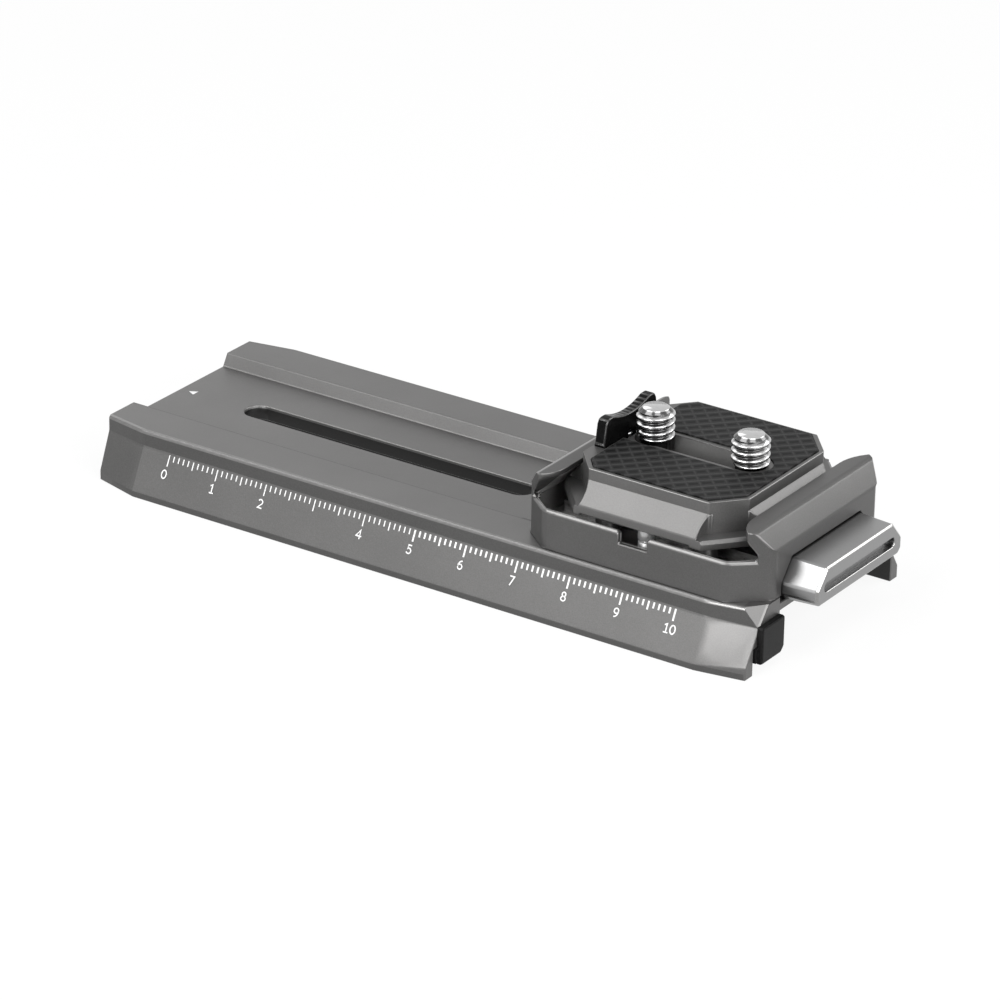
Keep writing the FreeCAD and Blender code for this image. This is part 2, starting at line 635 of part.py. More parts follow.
def release_button():
    sections = ((BUTTON_INNER_X, 0), (PLATE_RIGHT_X, 0), (BUTTON_END_X, -BUTTON_DRAFT))
    body = lead_in(*[v for x, g in sections[:2] for v in (x, button_section(g))])
    body = body.fuse(lead_in(*[v for x, g in sections[1:] for v in (x, button_section(g))]))
    body = body.removeSplitter()
    edges = []
    for e in body.Edges:
        box = e.BoundBox
        if box.XMin > BUTTON_END_X - 0.01:
            edges.append(e)
    body = body.makeChamfer(0.35, edges)
    groove = prism_x([(-BUTTON_GROOVE_HALF, BUTTON_GROOVE_Z - BUTTON_GROOVE_R),
                      (BUTTON_GROOVE_HALF, BUTTON_GROOVE_Z - BUTTON_GROOVE_R),
                      (BUTTON_GROOVE_HALF, BUTTON_GROOVE_Z + BUTTON_GROOVE_R),
                      (-BUTTON_GROOVE_HALF, BUTTON_GROOVE_Z + BUTTON_GROOVE_R)],
                     BUTTON_END_X - BUTTON_GROOVE_DEPTH, BUTTON_END_X + 1)
    for s in (-1, 1):
        end = Part.makeCylinder(BUTTON_GROOVE_R, BUTTON_GROOVE_DEPTH + 1,
                                vec(BUTTON_END_X - BUTTON_GROOVE_DEPTH, s * BUTTON_GROOVE_HALF,
                                    BUTTON_GROOVE_Z), vec(1, 0, 0))
        groove = groove.fuse(end)
    mouth = block(BUTTON_INNER_X - 1, FRAME_RIGHT_X + FIT, -FRAME_HALF - FIT, FRAME_HALF + FIT,
                  FRAME_LOW_Z - FIT, FRAME_LOW_Z + FRAME_THICK + FIT)
    holes = [groove, mouth]
    for s in (-1, 1):
        holes.append(button_screw(s, FIT))
    return body.cut(holes)


def button_screw(s, grow):
    low = BUTTON_LOW_Z + (0.3 if not grow else -1)
    neck = BUTTON_LOW_Z + 1.5
    top = FRAME_LOW_Z + FRAME_THICK + 0.6 + grow
    r = SMALL_SCREW_R + grow
    head = SMALL_HEAD_R + grow
    profile = [(0, low), (head, low), (head, neck), (r, neck), (r, top), (0, top)]
    return revolve_z(profile, BUTTON_SCREW_X, s * BUTTON_SCREW_Y)


def button_screws():
    screws = []
    for s in (-1, 1):
        z = BUTTON_LOW_Z + 0.3
        screws.append((button_screw(s, 0), BUTTON_SCREW_X, s * BUTTON_SCREW_Y, z))
    return socketed(screws, SMALL_SOCKET, 0.7, False)


def return_springs():
    length = SPRING_RIGHT_X - SPRING_LEFT_X - 0.04
    springs = []
    for s in (-1, 1):
        springs.append(coil(SPRING_LEFT_X + 0.02, s * SPRING_Y, SPRING_Z, "x", length,
                            SPRING_R, SPRING_WIRE, 6))
    return Part.makeCompound(springs)


def block_outline(inset, left_x=None):
    hx = BLOCK_HALF_X - inset
    hy = BLOCK_HALF_Y - inset
    cx = BLOCK_CORNER_X - inset * 0.42
    cy = BLOCK_CORNER_Y - inset * 0.42
    left = PLATE_MID_X - hx if left_x is None else left_x
    right = PLATE_MID_X + hx
    lift = cx if left_x is None else cx - (left_x - (PLATE_MID_X - hx))
    drop = cy if left_x is None else cy * lift / cx
    points = [(left, -hy + drop), (left + lift, -hy), (right - cx, -hy), (right, -hy + cy)]
    points += [(right, hy - cy), (right - cx, hy), (left + lift, hy), (left, hy - drop)]
    return points


def slab_outline():
    hx = BLOCK_HALF_X + WING_REACH - 0.2
    hy = BLOCK_HALF_Y + WING_REACH
    m = PLATE_MID_X
    points = [(m - hx, -SLAB_CORNER_Y), (m - SLAB_CORNER_X, -hy), (m + SLAB_CORNER_X, -hy)]
    points += [(m + hx, -SLAB_CORNER_Y), (m + hx, SLAB_CORNER_Y), (m + SLAB_CORNER_X, hy)]
    points += [(m - SLAB_CORNER_X, hy), (m - hx, SLAB_CORNER_Y)]
    return points


def wings():
    """Dovetail wings on all four sides, scooped at their ends."""
    m = PLATE_MID_X
    hy = BLOCK_HALF_Y
    top = WING_TOP_Z
    out = WING_REACH
    front = [(-hy - out, SLAB_LOW_Z), (hy + out, SLAB_LOW_Z), (hy + out, top - out)]
    front += [(hy, top), (-hy, top), (-hy - out, top - out)]
    along = prism_x(front, m - WING_HALF_X, m + WING_HALF_X)
    hx = BLOCK_HALF_X
    wide = out - 0.2
    side = [(m - hx - wide, SLAB_LOW_Z), (m + hx + wide, SLAB_LOW_Z), (m + hx + wide, top - wide)]
    side += [(m + hx, top), (m - hx, top), (m - hx - wide, top - wide)]
    across = prism_y(side, -WING_HALF_Y, WING_HALF_Y)
    both = along.fuse(across)
    scoops = []
    for sx in (-1, 1):
        for sy in (-1, 1):
            for x, y, r in (FRONT_SCOOP, SIDE_SCOOP):
                scoops.append(rod_z(r, m + sx * x, sy * y, SLAB_TOP_Z, BLOCK_TOP_Z))
    return both.cut(scoops)


def camera_plate():
    body = prism_z(slab_outline(), SLAB_LOW_Z, SLAB_TOP_Z)
    bevels = []
    for e in body.Edges:
        box = e.BoundBox
        if box.ZMin > SLAB_TOP_Z - 0.01 and min(box.XLength, box.YLength) > 1:
            bevels.append(e)
    body = body.makeChamfer(SLAB_BEVEL, bevels)
    body = body.fuse([wings().common(prism_z(slab_outline(), SLAB_LOW_Z, BLOCK_TOP_Z)),
                      prism_z(block_outline(0), SLAB_LOW_Z, BLOCK_TOP_Z)])
    m = PLATE_MID_X
    cuts = []
    reach = BLOCK_HALF_Y + WING_REACH
    for s in (-1, 1):
        y0, y1 = sorted((s * (reach - 3.0), s * (reach + 1)))
        cuts.append(block(RELIEF_LEFT_X, RELIEF_RIGHT_X, y0, y1, SLAB_LOW_Z - 1, RELIEF_Z))
    bed = prism_z(block_outline(PAD_RIM, PAD_LEFT_X - 0.05), PAD_FLOOR_Z, BLOCK_TOP_Z + 1)
    cuts.append(bed.cut(slot_z(PAD_LEFT_X - 5, SCREW_RIGHT_X, 0, PAD_SLOT_HALF,
                               PAD_FLOOR_Z - 1, BLOCK_TOP_Z + 2)))
    cuts.append(slot_z(SCREW_LEFT_X, SCREW_RIGHT_X, 0, SCREW_SLOT_HALF, SLAB_LOW_Z - 1,
                       BLOCK_TOP_Z + 1))
    cuts.append(rod_z(KEYHOLE_R, SCREW_LEFT_X, 0, SLAB_LOW_Z - 1, BLOCK_TOP_Z + 1))
    cuts.append(slot_z(SCREW_LEFT_X, SCREW_RIGHT_X, 0, HEAD_RECESS_HALF, SLAB_LOW_Z - 1,
                       HEAD_RECESS_Z))
    left = m - BLOCK_HALF_X
    bay_x = FLAP_OUT_X + FLAP_THICK + FLAP_GAP
    reach = FLAP_HALF + FLAP_GAP
    cuts.append(block(left - 1, bay_x, FLAP_MID_Y - reach, FLAP_MID_Y + reach,
                      FLAP_BAY_FLOOR_Z, BLOCK_TOP_Z + 1))
    cuts.append(block(left - 1, HINGE_BAY_X, HINGE_BAY_LOW_Y, HINGE_BAY_HIGH_Y,
                      FLAP_BAY_FLOOR_Z, BLOCK_TOP_Z + 1))
    cuts.append(rod_y(FLAP_PIN_R + FIT, flap_pin_x(), FLAP_PIN_Z, -FLAP_PIN_HALF - FIT,
                      FLAP_PIN_HALF + FIT))
    cuts.append(rod_z(PIN_R + 0.25, PIN_X, PIN_Y, SLAB_LOW_Z - 1, PIN_TOP_Z + 0.3))
    return body.cut(cuts).removeSplitter()


def grip_pad():
    pad = prism_z(block_outline(PAD_RIM + 0.05, PAD_LEFT_X), PAD_FLOOR_Z, PAD_TOP_Z)
    cuts = [slot_z(PAD_LEFT_X - 5, SCREW_RIGHT_X, 0, PAD_SLOT_HALF, PAD_FLOOR_Z - 1,
                   PAD_TOP_Z + 1)]
    return pad.cut(cuts)


def camera_screw(x):
    """Quarter-inch screw, thread ridges as rings, hex socket in the head below."""
    profile = [(0, HEAD_LOW_Z), (HEAD_R - 0.3, HEAD_LOW_Z), (HEAD_R, HEAD_LOW_Z + 0.3)]
    profile += [(HEAD_R, HEAD_TOP_Z), (NECK_R, HEAD_TOP_Z), (NECK_R, THREAD_LOW_Z)]
    z = THREAD_LOW_Z
    profile.append((THREAD_ROOT_R, z))
    while z + THREAD_PITCH < SCREW_TOP_Z - 0.9:
        profile.append((THREAD_R, z + THREAD_PITCH * 0.42))
        profile.append((THREAD_R, z + THREAD_PITCH * 0.58))
        z += THREAD_PITCH
        profile.append((THREAD_ROOT_R, z))
    profile.append((THREAD_R - 0.45, z + 0.35))
    profile += [(SCREW_TIP_R, SCREW_TOP_Z), (0, SCREW_TOP_Z)]
    screw = revolve_z(profile, x, 0)
    return screw.cut(hexagon(SOCKET_R, x, 0, HEAD_LOW_Z - 1, HEAD_LOW_Z + SOCKET_DEPTH))


def washer(x):
    low = HEAD_TOP_Z + 0.03
    ring = rod_z(WASHER_R, x, 0, low, low + WASHER_THICK)
    return ring.cut(rod_z(NECK_R + 0.05, x, 0, low - 1, low + 2))


def flap_pin_x():
    return FLAP_OUT_X + FLAP_THICK / 2


def flap():
    mid = FLAP_MID_Y
    y0 = FLAP_HALF
    y1 = FLAP_TOP_HALF
    count = 10
    rim = []
    start = FLAP_DIP_HALF
    depth = FLAP_TOP_Z - FLAP_DIP_Z
    for i in range(count + 1):
        y = start - 2 * start * i / count
        rim.append((y, FLAP_DIP_Z + depth * (y / start) ** 2))
    outline = [(-y0, FLAP_PIN_Z), (y0, FLAP_PIN_Z), (y0, WINDOW_TOP_Z), (y1 + 0.25, FLAP_TOP_Z - 0.9)]
    outline += [(y1 - 0.2, FLAP_TOP_Z - 0.15), (y1 - 0.7, FLAP_TOP_Z)] + rim
    outline += [(-y1 + 0.7, FLAP_TOP_Z), (-y1 + 0.2, FLAP_TOP_Z - 0.15)]
    outline += [(-y1 - 0.25, FLAP_TOP_Z - 0.9), (-y0, WINDOW_TOP_Z)]
    outline = [(y + mid, z) for y, z in outline]
    body = prism_x(outline, FLAP_OUT_X, FLAP_OUT_X + FLAP_THICK)
    x = flap_pin_x()
    body = body.fuse(rod_y(FLAP_THICK / 2, x, FLAP_PIN_Z, mid - y0, mid + y0))
    cuts = [rod_y(FLAP_PIN_R + 0.05, x, FLAP_PIN_Z, mid - y0 - 1, mid + y0 + 1)]
    for low, high in WINDOWS:
        cuts.append(block(x - 3, x + 3, low, high, FLAP_PIN_Z - 2, WINDOW_TOP_Z))
    return body.cut(cuts).removeSplitter()


def flap_pin():
    return rod_y(FLAP_PIN_R, flap_pin_x(), FLAP_PIN_Z, -FLAP_PIN_HALF, FLAP_PIN_HALF)


def safety_stop():
    bar = block(STOP_LEFT_X, STOP_TAB_X + 0.3, STOP_OUT_Y, STOP_IN_Y, STOP_LOW_Z, STOP_TOP_Z)
    r = 0.9
    low = STOP_TAB_LOW_Z
    top = STOP_TAB_TOP_Z
    section = [(STOP_TAB_OUT_Y, low), (STOP_IN_Y - r, low), (STOP_IN_Y, low + r)]
    section += [(STOP_IN_Y, top - 0.3), (STOP_IN_Y - 0.3, top), (STOP_TAB_OUT_Y + 0.3, top)]
    section += [(STOP_TAB_OUT_Y, top - 0.3)]
    tab = prism_x(section, STOP_TAB_X, STOP_END_X)
    ends = [e for e in tab.Edges if e.BoundBox.XMin > STOP_END_X - 0.01]
    tab = tab.makeChamfer(0.2, ends)
    stop = bar.fuse(tab)
    cuts = []
    for x in STOP_SCREW_X:
        r1 = STOP_SCREW_R + 0.15
        y0 = STOP_SCREW_Y - STOP_TRAVEL
        for r2, z0, z1 in ((r1, STOP_LOW_Z - 1, STOP_TOP_Z + 1),
                           (2.35, STOP_LOW_Z - 1, STOP_LOW_Z + 0.9)):
            cuts.append(block(x - r2, x + r2, y0, STOP_SCREW_Y, z0, z1))
            cuts.append(rod_z(r2, x, y0, z0, z1))
            cuts.append(rod_z(r2, x, STOP_SCREW_Y, z0, z1))
    pocket = STOP_SPRING_R + STOP_SPRING_WIRE / 2 + 0.1
    cuts.append(block(STOP_SPRING_X - pocket, STOP_SPRING_X + pocket, STOP_SPRING_OUT_Y,
                      STOP_IN_Y + 1, STOP_LOW_Z + 0.25, STOP_TOP_Z + 1))
    return stop.cut(cuts).removeSplitter()


def stop_screws():
    screws = []
    for x in STOP_SCREW_X:
        low = STOP_LOW_Z + 0.05
        profile = [(0, low), (2.2, low), (2.2, STOP_LOW_Z + 0.85), (STOP_SCREW_R, STOP_LOW_Z + 0.85)]
        profile += [(STOP_SCREW_R, 8.5), (0, 8.5)]
        screws.append((revolve_z(profile, x, STOP_SCREW_Y), x, STOP_SCREW_Y, low))
    return socketed(screws, 0.65, 0.6, False)


def stop_spring():
    length = STOP_POST_Y - STOP_POST_R - 0.02 - STOP_SPRING_OUT_Y - 0.02
    return coil(STOP_SPRING_X, STOP_SPRING_OUT_Y + 0.02, STOP_SPRING_Z, "y", length,
                STOP_SPRING_R, STOP_SPRING_WIRE, 5)


def spring_post():
    return rod_z(STOP_POST_R, STOP_SPRING_X, STOP_POST_Y, STOP_LOW_Z, STOP_POST_TOP_Z)


export(base_plate(), "base_plate")
export(clamp_body(), "clamp_body")
export(clamp_screws(), "clamp_screws")
export(deck_plate(), "deck_plate")
export(deck_screws(), "deck_screws")
export(locating_pin(), "locating_pin")
export(sliding_jaw(), "sliding_jaw")
export(slider_frame(), "slider_frame")
export(frame_screws(), "frame_screws")
export(release_button(), "release_button")
export(button_screws(), "button_screws")
export(return_springs(), "return_springs")
export(camera_plate(), "camera_plate")
export(grip_pad(), "grip_pad")
export(camera_screw(SCREW_LEFT_X), "camera_screw_left")
export(camera_screw(SCREW_RIGHT_X), "camera_screw_right")
export(washer(SCREW_LEFT_X), "washer_left")
export(washer(SCREW_RIGHT_X), "washer_right")
export(flap(), "flap")
export(flap_pin(), "flap_pin")
export(safety_stop(), "safety_stop")
export(stop_screws(), "stop_screws")
export(stop_spring(), "stop_spring")
export(spring_post(), "spring_post")
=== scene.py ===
import bmesh
import bpy
import math
from mathutils import Matrix, Vector


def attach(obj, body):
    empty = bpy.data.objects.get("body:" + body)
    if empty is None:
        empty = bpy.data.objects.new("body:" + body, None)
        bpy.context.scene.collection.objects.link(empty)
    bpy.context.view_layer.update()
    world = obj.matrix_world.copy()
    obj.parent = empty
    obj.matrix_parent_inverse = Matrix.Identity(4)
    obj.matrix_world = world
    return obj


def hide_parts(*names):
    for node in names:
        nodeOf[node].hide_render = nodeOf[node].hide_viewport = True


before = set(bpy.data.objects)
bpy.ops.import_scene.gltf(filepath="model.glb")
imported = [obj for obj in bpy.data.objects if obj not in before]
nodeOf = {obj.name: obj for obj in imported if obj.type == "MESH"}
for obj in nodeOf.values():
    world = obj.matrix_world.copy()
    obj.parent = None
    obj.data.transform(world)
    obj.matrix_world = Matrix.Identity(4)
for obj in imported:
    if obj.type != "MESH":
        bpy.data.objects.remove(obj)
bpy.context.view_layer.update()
middleX = 53.15  # where the object's middle lies on the printed scale, in mm
print("frame loaded:", len(nodeOf), "nodes")


def at(x, y, z):
    # x counted from the printed zero, all in mm
    return Vector(((x - middleX) / 1000, y / 1000, z / 1000))


def inMm(v):
    return Vector((v.x * 1000 + middleX, v.y * 1000, v.z * 1000))


# Shader maths on sockets: an expression on values adds its Math nodes.
class Sock:
    def __init__(self, finish, out):
        self.finish = finish
        self.out = out

    def maths(self, operation, a, b=None):
        values = {0: a} if b is None else {0: a, 1: b}
        return self.finish.add("ShaderNodeMath", {"operation": operation}, values)

    def __add__(self, other):
        return self.maths("ADD", self, other)

    def __radd__(self, other):
        return self.maths("ADD", other, self)

    def __sub__(self, other):
        return self.maths("SUBTRACT", self, other)

    def __rsub__(self, other):
        return self.maths("SUBTRACT", other, self)

    def __mul__(self, other):
        return self.maths("MULTIPLY", self, other)

    def __truediv__(self, other):
        return self.maths("DIVIDE", self, other)

    def __abs__(self):
        return self.maths("ABSOLUTE", self)

    def __gt__(self, other):
        return self.maths("GREATER_THAN", self, other)

    def __lt__(self, other):
        return self.maths("LESS_THAN", self, other)

    def fraction(self):
        return self.maths("FRACT", self)

    def root(self):
        return self.maths("SQRT", self)

    def atLeast(self, other):
        return self.maths("MAXIMUM", self, other)

    def step(self, low, high):
        return self.finish.add("ShaderNodeMapRange", {"interpolation_type": "SMOOTHSTEP"},
                               {"Value": self, "From Min": low, "From Max": high})


class Finish:
    def __init__(self, name, world=None):
        self.data = world or bpy.data.materials.new(name)
        self.data.use_nodes = True
        self.tree = self.data.node_tree
        self.tree.nodes.clear()

    def add(self, kind, settings=None, values=None, out=0):
        node = self.tree.nodes.new(kind)
        for key, value in (settings or {}).items():
            setattr(node, key, value)
        for key, value in (values or {}).items():
            if isinstance(value, Sock):
                self.tree.links.new(value.out, node.inputs[key])
            else:
                node.inputs[key].default_value = value
        return Sock(self, node.outputs[out]) if node.outputs else node

    def place(self):
        return self.add("ShaderNodeTexCoord", out="Object")

    def axes(self):
        # x, y, z of the surface in mm, x counted from the printed zero
        split = self.add("ShaderNodeSeparateXYZ", None, {0: self.place()}, "X")
        outputs = split.out.node.outputs
        x, y, z = (Sock(self, outputs[key]) * 1000.0 for key in ("X", "Y", "Z"))
        return x + middleX, y, z

    def noise(self, perMetre, detail, stretch=None):
        where = self.place()
        if stretch:
            where = self.add("ShaderNodeVectorMath", {"operation": "MULTIPLY"},
                             {0: where, 1: stretch})
        return self.add("ShaderNodeTexNoise", None,
                        {"Vector": where, "Scale": perMetre, "Detail": detail}, "Fac")

    def blend(self, factor, a, b):
        return self.add("ShaderNodeMix", {"data_type": "RGBA"}, {0: factor, 6: a, 7: b}, 2)

    def bump(self, height, strength, distance):
        return self.add("ShaderNodeBump", None,
                        {"Height": height, "Strength": strength, "Distance": distance})

    def seenDirectly(self):
        # 1 on camera, mirror and glass rays, 0 on the rays that light the object
        path = self.add("ShaderNodeLightPath")
        outputs = path.out.node.outputs
        seen = Sock(self, outputs["Is Camera Ray"])
        for key in ("Is Glossy Ray", "Is Transmission Ray"):
            seen = seen.atLeast(Sock(self, outputs[key]))
        return seen

    def surface(self, values):
        shader = self.add("ShaderNodeBsdfPrincipled", None, values)
        self.add("ShaderNodeOutputMaterial", None, {"Surface": shader})
        return self.data


def grey(v, warm=0.0):
    return (v * (1 + warm), v, v * (1 - warm), 1.0)


# Finishes. Every look has a noise, and two tones that its steps low and high blend.
warmTint = 0.012
anodised = {
    "dark": 0.112,
    "light": 0.144,
    "grainPerMetre": 5200.0,
    "grainDetail": 2.0,
    "grainShare": 0.75,
    "cloudPerMetre": 55.0,
    "cloudDetail": 3.0,
    "cloudShare": 0.5,
    "low": 0.35,
    "high": 0.95,
    "bump": 0.45,
    "depth": 0.00002,
    "roughness": 0.40,
    "roughSpan": 0.14,
    "metallic": 0.75,
}
clampTone = {"dark": 0.079, "light": 0.102}
cameraTone = {"dark": 0.102, "light": 0.134}

# the clamp's inside, painted lighter as painted light for the light that bounces between its
# walls
pocketPaintedLight = {
    "lowZ": 12.0,
    "highZ": 17.3,
    "frontY": 20.2,
    "leftX": 69.3,
    "rightX": 113.5,
    "rightLean": 0.881,
    "rightCorner": 115.5,
    "leftLean": 0.796,
    "leftCorner": 38.8,
    "posts": (81.8, 100.2),
    "postY": 13.8,
    "postR": 2.3,
    "dark": 0.38,
    "light": 0.44,
}
# the undercut faces of both jaws, which the camera plate shades; they get the pocket's painted
# light too
undercut = {
    "lowZ": 17.8,
    "highZ": 21.93,
    "leftSum": 51.95,
    "leftX": 80.0,
    "rightSum": 129.7,
    "rightX": 100.0,
}
# the long plate's channel and notch underneath, painted dark as painted shade; these tones serve
# all the plate's painted shade
paintedPlateShade = {
    "channelHalf": 21.24,
    "channelZ": 4.68,
    "notchHalf": 13.62,
    "notchZ": 8.38,
    "dark": 0.022,
    "light": 0.030,
}
# painted shade on the long plate: the steep bands along its sides, which fall a little from
# turnX on, its feet, its right corners, its sloped left end, and a painted shadow line on the
# tray
bands = {
    "half": 19.6,
    "lowZ": 8.3,
    "highZ": 10.5,
    "turnX": 105.5,
    "fall": 0.054,
    "footHalf": 23.5,
    "footZ": 1.15,
    "leftX": -5.6,
    "rightX": 113.9,
    "cornerX": 111.3,
    "cornerHalf": 16.6,
    "shade": 0.42,
    "leadShade": 0.30,
    "lineY": 13.22,
    "lineHalf": 0.22,
    "lineShade": 0.60,
}
# the walls of the camera plate's slot, painted lighter as painted light from the screws and the
# sky
slotPaintedLight = {
    "half": 3.6,
    "lowZ": 19.5,
    "highZ": 24.75,
    "leftX": 78.0,
    "rightX": 104.0,
    "dark": 0.34,
    "light": 0.40,
}


def insidePocket(f, size):
    # 1 where the clamp's pocket and the jaws' undercuts get painted light
    x, y, z = f.axes()
    out = abs(y)
    mask = (z > size["lowZ"]) * (z < size["highZ"]) * (out < size["frontY"])
    mask = mask * (x > size["leftX"]) * (x < size["rightX"])
    mask = mask * (out + x * size["rightLean"] < size["rightCorner"])
    mask = mask * (out - x * size["leftLean"] < -size["leftCorner"])
    for post in size["posts"]:
        fromX = x - post
        fromY = out - size["postY"]
        mask = mask * (fromX * fromX + fromY * fromY > size["postR"] * size["postR"])
    under = (z > undercut["lowZ"]) * (z < undercut["highZ"])
    left = (x - z > undercut["leftSum"]) * (x < undercut["leftX"])
    right = (x + z < undercut["rightSum"]) * (x > undercut["rightX"])
    return mask.atLeast(under * left.atLeast(right))


def insideSlot(f, size):
    # 1 where the slot's walls get painted light
    x, y, z = f.axes()
    mask = (abs(y) < size["half"]) * (z > size["lowZ"]) * (z < size["highZ"])
    return mask * (x > size["leftX"]) * (x < size["rightX"])


def plateShadeMask(f, size):
    # how much painted shade the long plate gets: all in its channel and notch, part on the bands,
    # the left end and the tray's line
    x, y, z = f.axes()
    out = abs(y)
    channel = (out < size["channelHalf"]) * (z < size["channelZ"])
    channel = channel.atLeast((out < size["notchHalf"]) * (z < size["notchZ"]))
    low = bands["lowZ"] - (x.atLeast(bands["turnX"]) - bands["turnX"]) * bands["fall"]
    top = (out > bands["half"]) * (z > low) * (z < bands["highZ"])
    foot = (out > bands["footHalf"]) * (z < bands["footZ"])
    corner = (out > bands["cornerHalf"]) * (z > low) * (x > bands["cornerX"])
    side = top.atLeast(foot).atLeast(corner) * (x < bands["rightX"]) * bands["shade"]
    lead = (out > bands["half"]) * (z < bands["highZ"]) * (x < bands["leftX"])
    line = (abs(y + bands["lineY"]) < bands["lineHalf"]) * (z > bands["highZ"])
    line = line * bands["lineShade"]
    return channel.atLeast(side).atLeast(lead * bands["leadShade"]).atLeast(line)


def anodisedMetal(name, size, mask, paintedTone):
    f = Finish(name)
    grain = f.noise(size["grainPerMetre"], size["grainDetail"])
    cloud = f.noise(size["cloudPerMetre"], size["cloudDetail"])
    tone = grain * size["grainShare"] + cloud * size["cloudShare"]
    tone = tone.step(size["low"], size["high"])
    outer = f.blend(tone, grey(size["dark"], warmTint), grey(size["light"], warmTint))
    # where the mask is set, the colour is painted light on the clamp and camera plate, painted
    # shade on the long plate
    paintedColour = f.blend(tone, grey(paintedTone["dark"], warmTint), grey(paintedTone["light"], warmTint))
    return f.surface({"Base Color": f.blend(mask(f, paintedTone), outer, paintedColour),
                      "Roughness": size["roughness"] + (grain - 0.5) * size["roughSpan"],
                      "Normal": f.bump(grain, size["bump"], size["depth"]),
                      "Metallic": size["metallic"]})


brushed = {"perMetre": 900.0, "detail": 3.0, "low": 0.3, "high": 0.7, "roughSpan": 0.12,
           "metallic": 1.0, "bump": 0.2, "depth": 0.00001}
# edge faces get a lower roughness and a lighter colour than the blasted faces; the lighter colour
# is a painted highlight
edgeHighlight = {"perMetre": 1500.0, "detail": 2.0, "low": 0.3, "high": 0.7, "roughSpan": 0.06,
           "warm": warmTint, "metallic": 0.8}
blackened = {"perMetre": 3000.0, "detail": 2.0, "low": 0.35, "high": 0.7, "roughSpan": 0.15,
             "metallic": 0.0, "bump": 0.25, "depth": 0.00001}
printed = {"perMetre": 6000.0, "detail": 2.0, "low": 0.25, "high": 0.5, "roughSpan": 0.1,
           "metallic": 0.0}


def plainFinish(name, look, **own):
    look = dict(look, **own)
    warm = look.get("warm", 0.0)
    f = Finish(name)
    grain = f.noise(look["perMetre"], look["detail"], look.get("stretch"))
    tone = grain.step(look["low"], look["high"])
    values = {"Base Color": f.blend(tone, grey(look["dark"], warm), grey(look["light"], warm)),
              "Roughness": look["roughness"] + (grain - 0.5) * look["roughSpan"],
              "Metallic": look["metallic"]}
    if "bump" in look:
        values["Normal"] = f.bump(grain, look["bump"], look["depth"])
    if "gloss" in look:
        values["Specular IOR Level"] = look["gloss"]
    return f.surface(values)


# brushed steel, with painted shade beside the jaw's wall and low in the groove
button = {
    "dark": 0.275,
    "light": 0.285,
    "roughness": 0.29,
    "roughSpan": 0.04,
    "stretch": (1.0, 6.0, 1.0),
    "wallX": 113.9,
    "openX": 118.3,
    "wallShade": 0.52,
    "grooveDeepX": 119.0,
    "grooveX": 120.3,
    "grooveHalf": 10.86,
    "grooveLow": 12.16,
    "grooveHigh": 13.84,
    "grooveShade": 0.75,
    "shadow": 0.03,
}


def buttonSatin(name, size):
    f = Finish(name)
    x, y, z = f.axes()
    lines = f.noise(brushed["perMetre"], brushed["detail"], size["stretch"])
    tone = lines.step(brushed["low"], brushed["high"])
    colour = f.blend(tone, grey(size["dark"]), grey(size["light"]))
    # painted shade: darker towards the jaw's wall, and low in the thumb groove
    paintedWallShade = (1 - x.step(size["wallX"], size["openX"])) * size["wallShade"]
    inside = (x < size["grooveX"]) * (x > size["grooveDeepX"]) * (abs(y) < size["grooveHalf"])
    inside = inside * (z > size["grooveLow"]) * (z < size["grooveHigh"])
    paintedGrooveShade = inside * (1 - z.step(size["grooveLow"], size["grooveHigh"])) * size["grooveShade"]
    colour = f.blend(paintedWallShade.atLeast(paintedGrooveShade), colour, grey(size["shadow"]))
    rough = size["roughness"] + (lines - 0.5) * size["roughSpan"]
    return f.surface({"Base Color": colour, "Roughness": rough, "Metallic": 1.0})


# a screw's crests and its roots, told apart by the distance from its axis; the roots' dark colour
# is painted shade
screwToneAndRootShade = {
    "root": 0.10,
    "crest": 0.50,
    "face": 0.54,
    "rootR": 2.66,
    "crestR": 2.98,
    "tipDown": 0.1,
    "roughness": 0.17,
    "roughSpan": 0.1,
    "stretch": (1.0, 6.0, 1.0),
    "bump": 0.2,
    "depth": 0.000006,
}


def screwMetal(name, axisX, topZ, size):
    f = Finish(name)
    x, y, z = f.axes()
    across = x - axisX
    radius = (across * across + y * y).root()
    # the colour darkens towards the roots, as painted shade
    thread = radius.step(size["rootR"], size["crestR"]).atLeast(z > topZ - size["tipDown"])
    lines = f.noise(brushed["perMetre"], brushed["detail"], size["stretch"])
    tone = lines.step(brushed["low"], brushed["high"])
    bright = f.blend(tone, grey(size["crest"]), grey(size["face"]))
    return f.surface({"Base Color": f.blend(thread, grey(size["root"]), bright),
                      "Roughness": size["roughness"] + (lines - 0.5) * size["roughSpan"],
                      "Metallic": 1.0, "Normal": f.bump(lines, size["bump"], size["depth"])})


# diamond ribs: both counts run along the diagonals of a 2.94 by 3.10 mm cell
rubber = {
    "alongX": 2.94,
    "alongY": 3.10,
    "startU": 0.425,
    "startV": 0.374,
    "middleU": 0.5,
    "middleV": 0.46,
    "dashLong": (0.31, 0.41),
    "dashWide": (0.10, 0.26),
    "ridgeV": (0.34, 0.46),
    "ridgeU": (0.42, 0.48),
    "ridgeShareU": 0.6,
    # the dashes' dark is painted shade, the ridges' light is painted light
    "dark": 0.003,
    "base": 0.013,
    "light": 0.030,
    "lightShare": 0.7,
    "grainShare": 0.6,
    "grainPerMetre": 5000.0,
    "grainDetail": 2.0,
    "height": 0.5,
    "bump": 0.6,
    "depth": 0.00012,
    "roughness": 0.62,
    "roughFall": 0.12,
    "gloss": 0.11,
    "ahead": 10,  # keeps the counts above zero
}


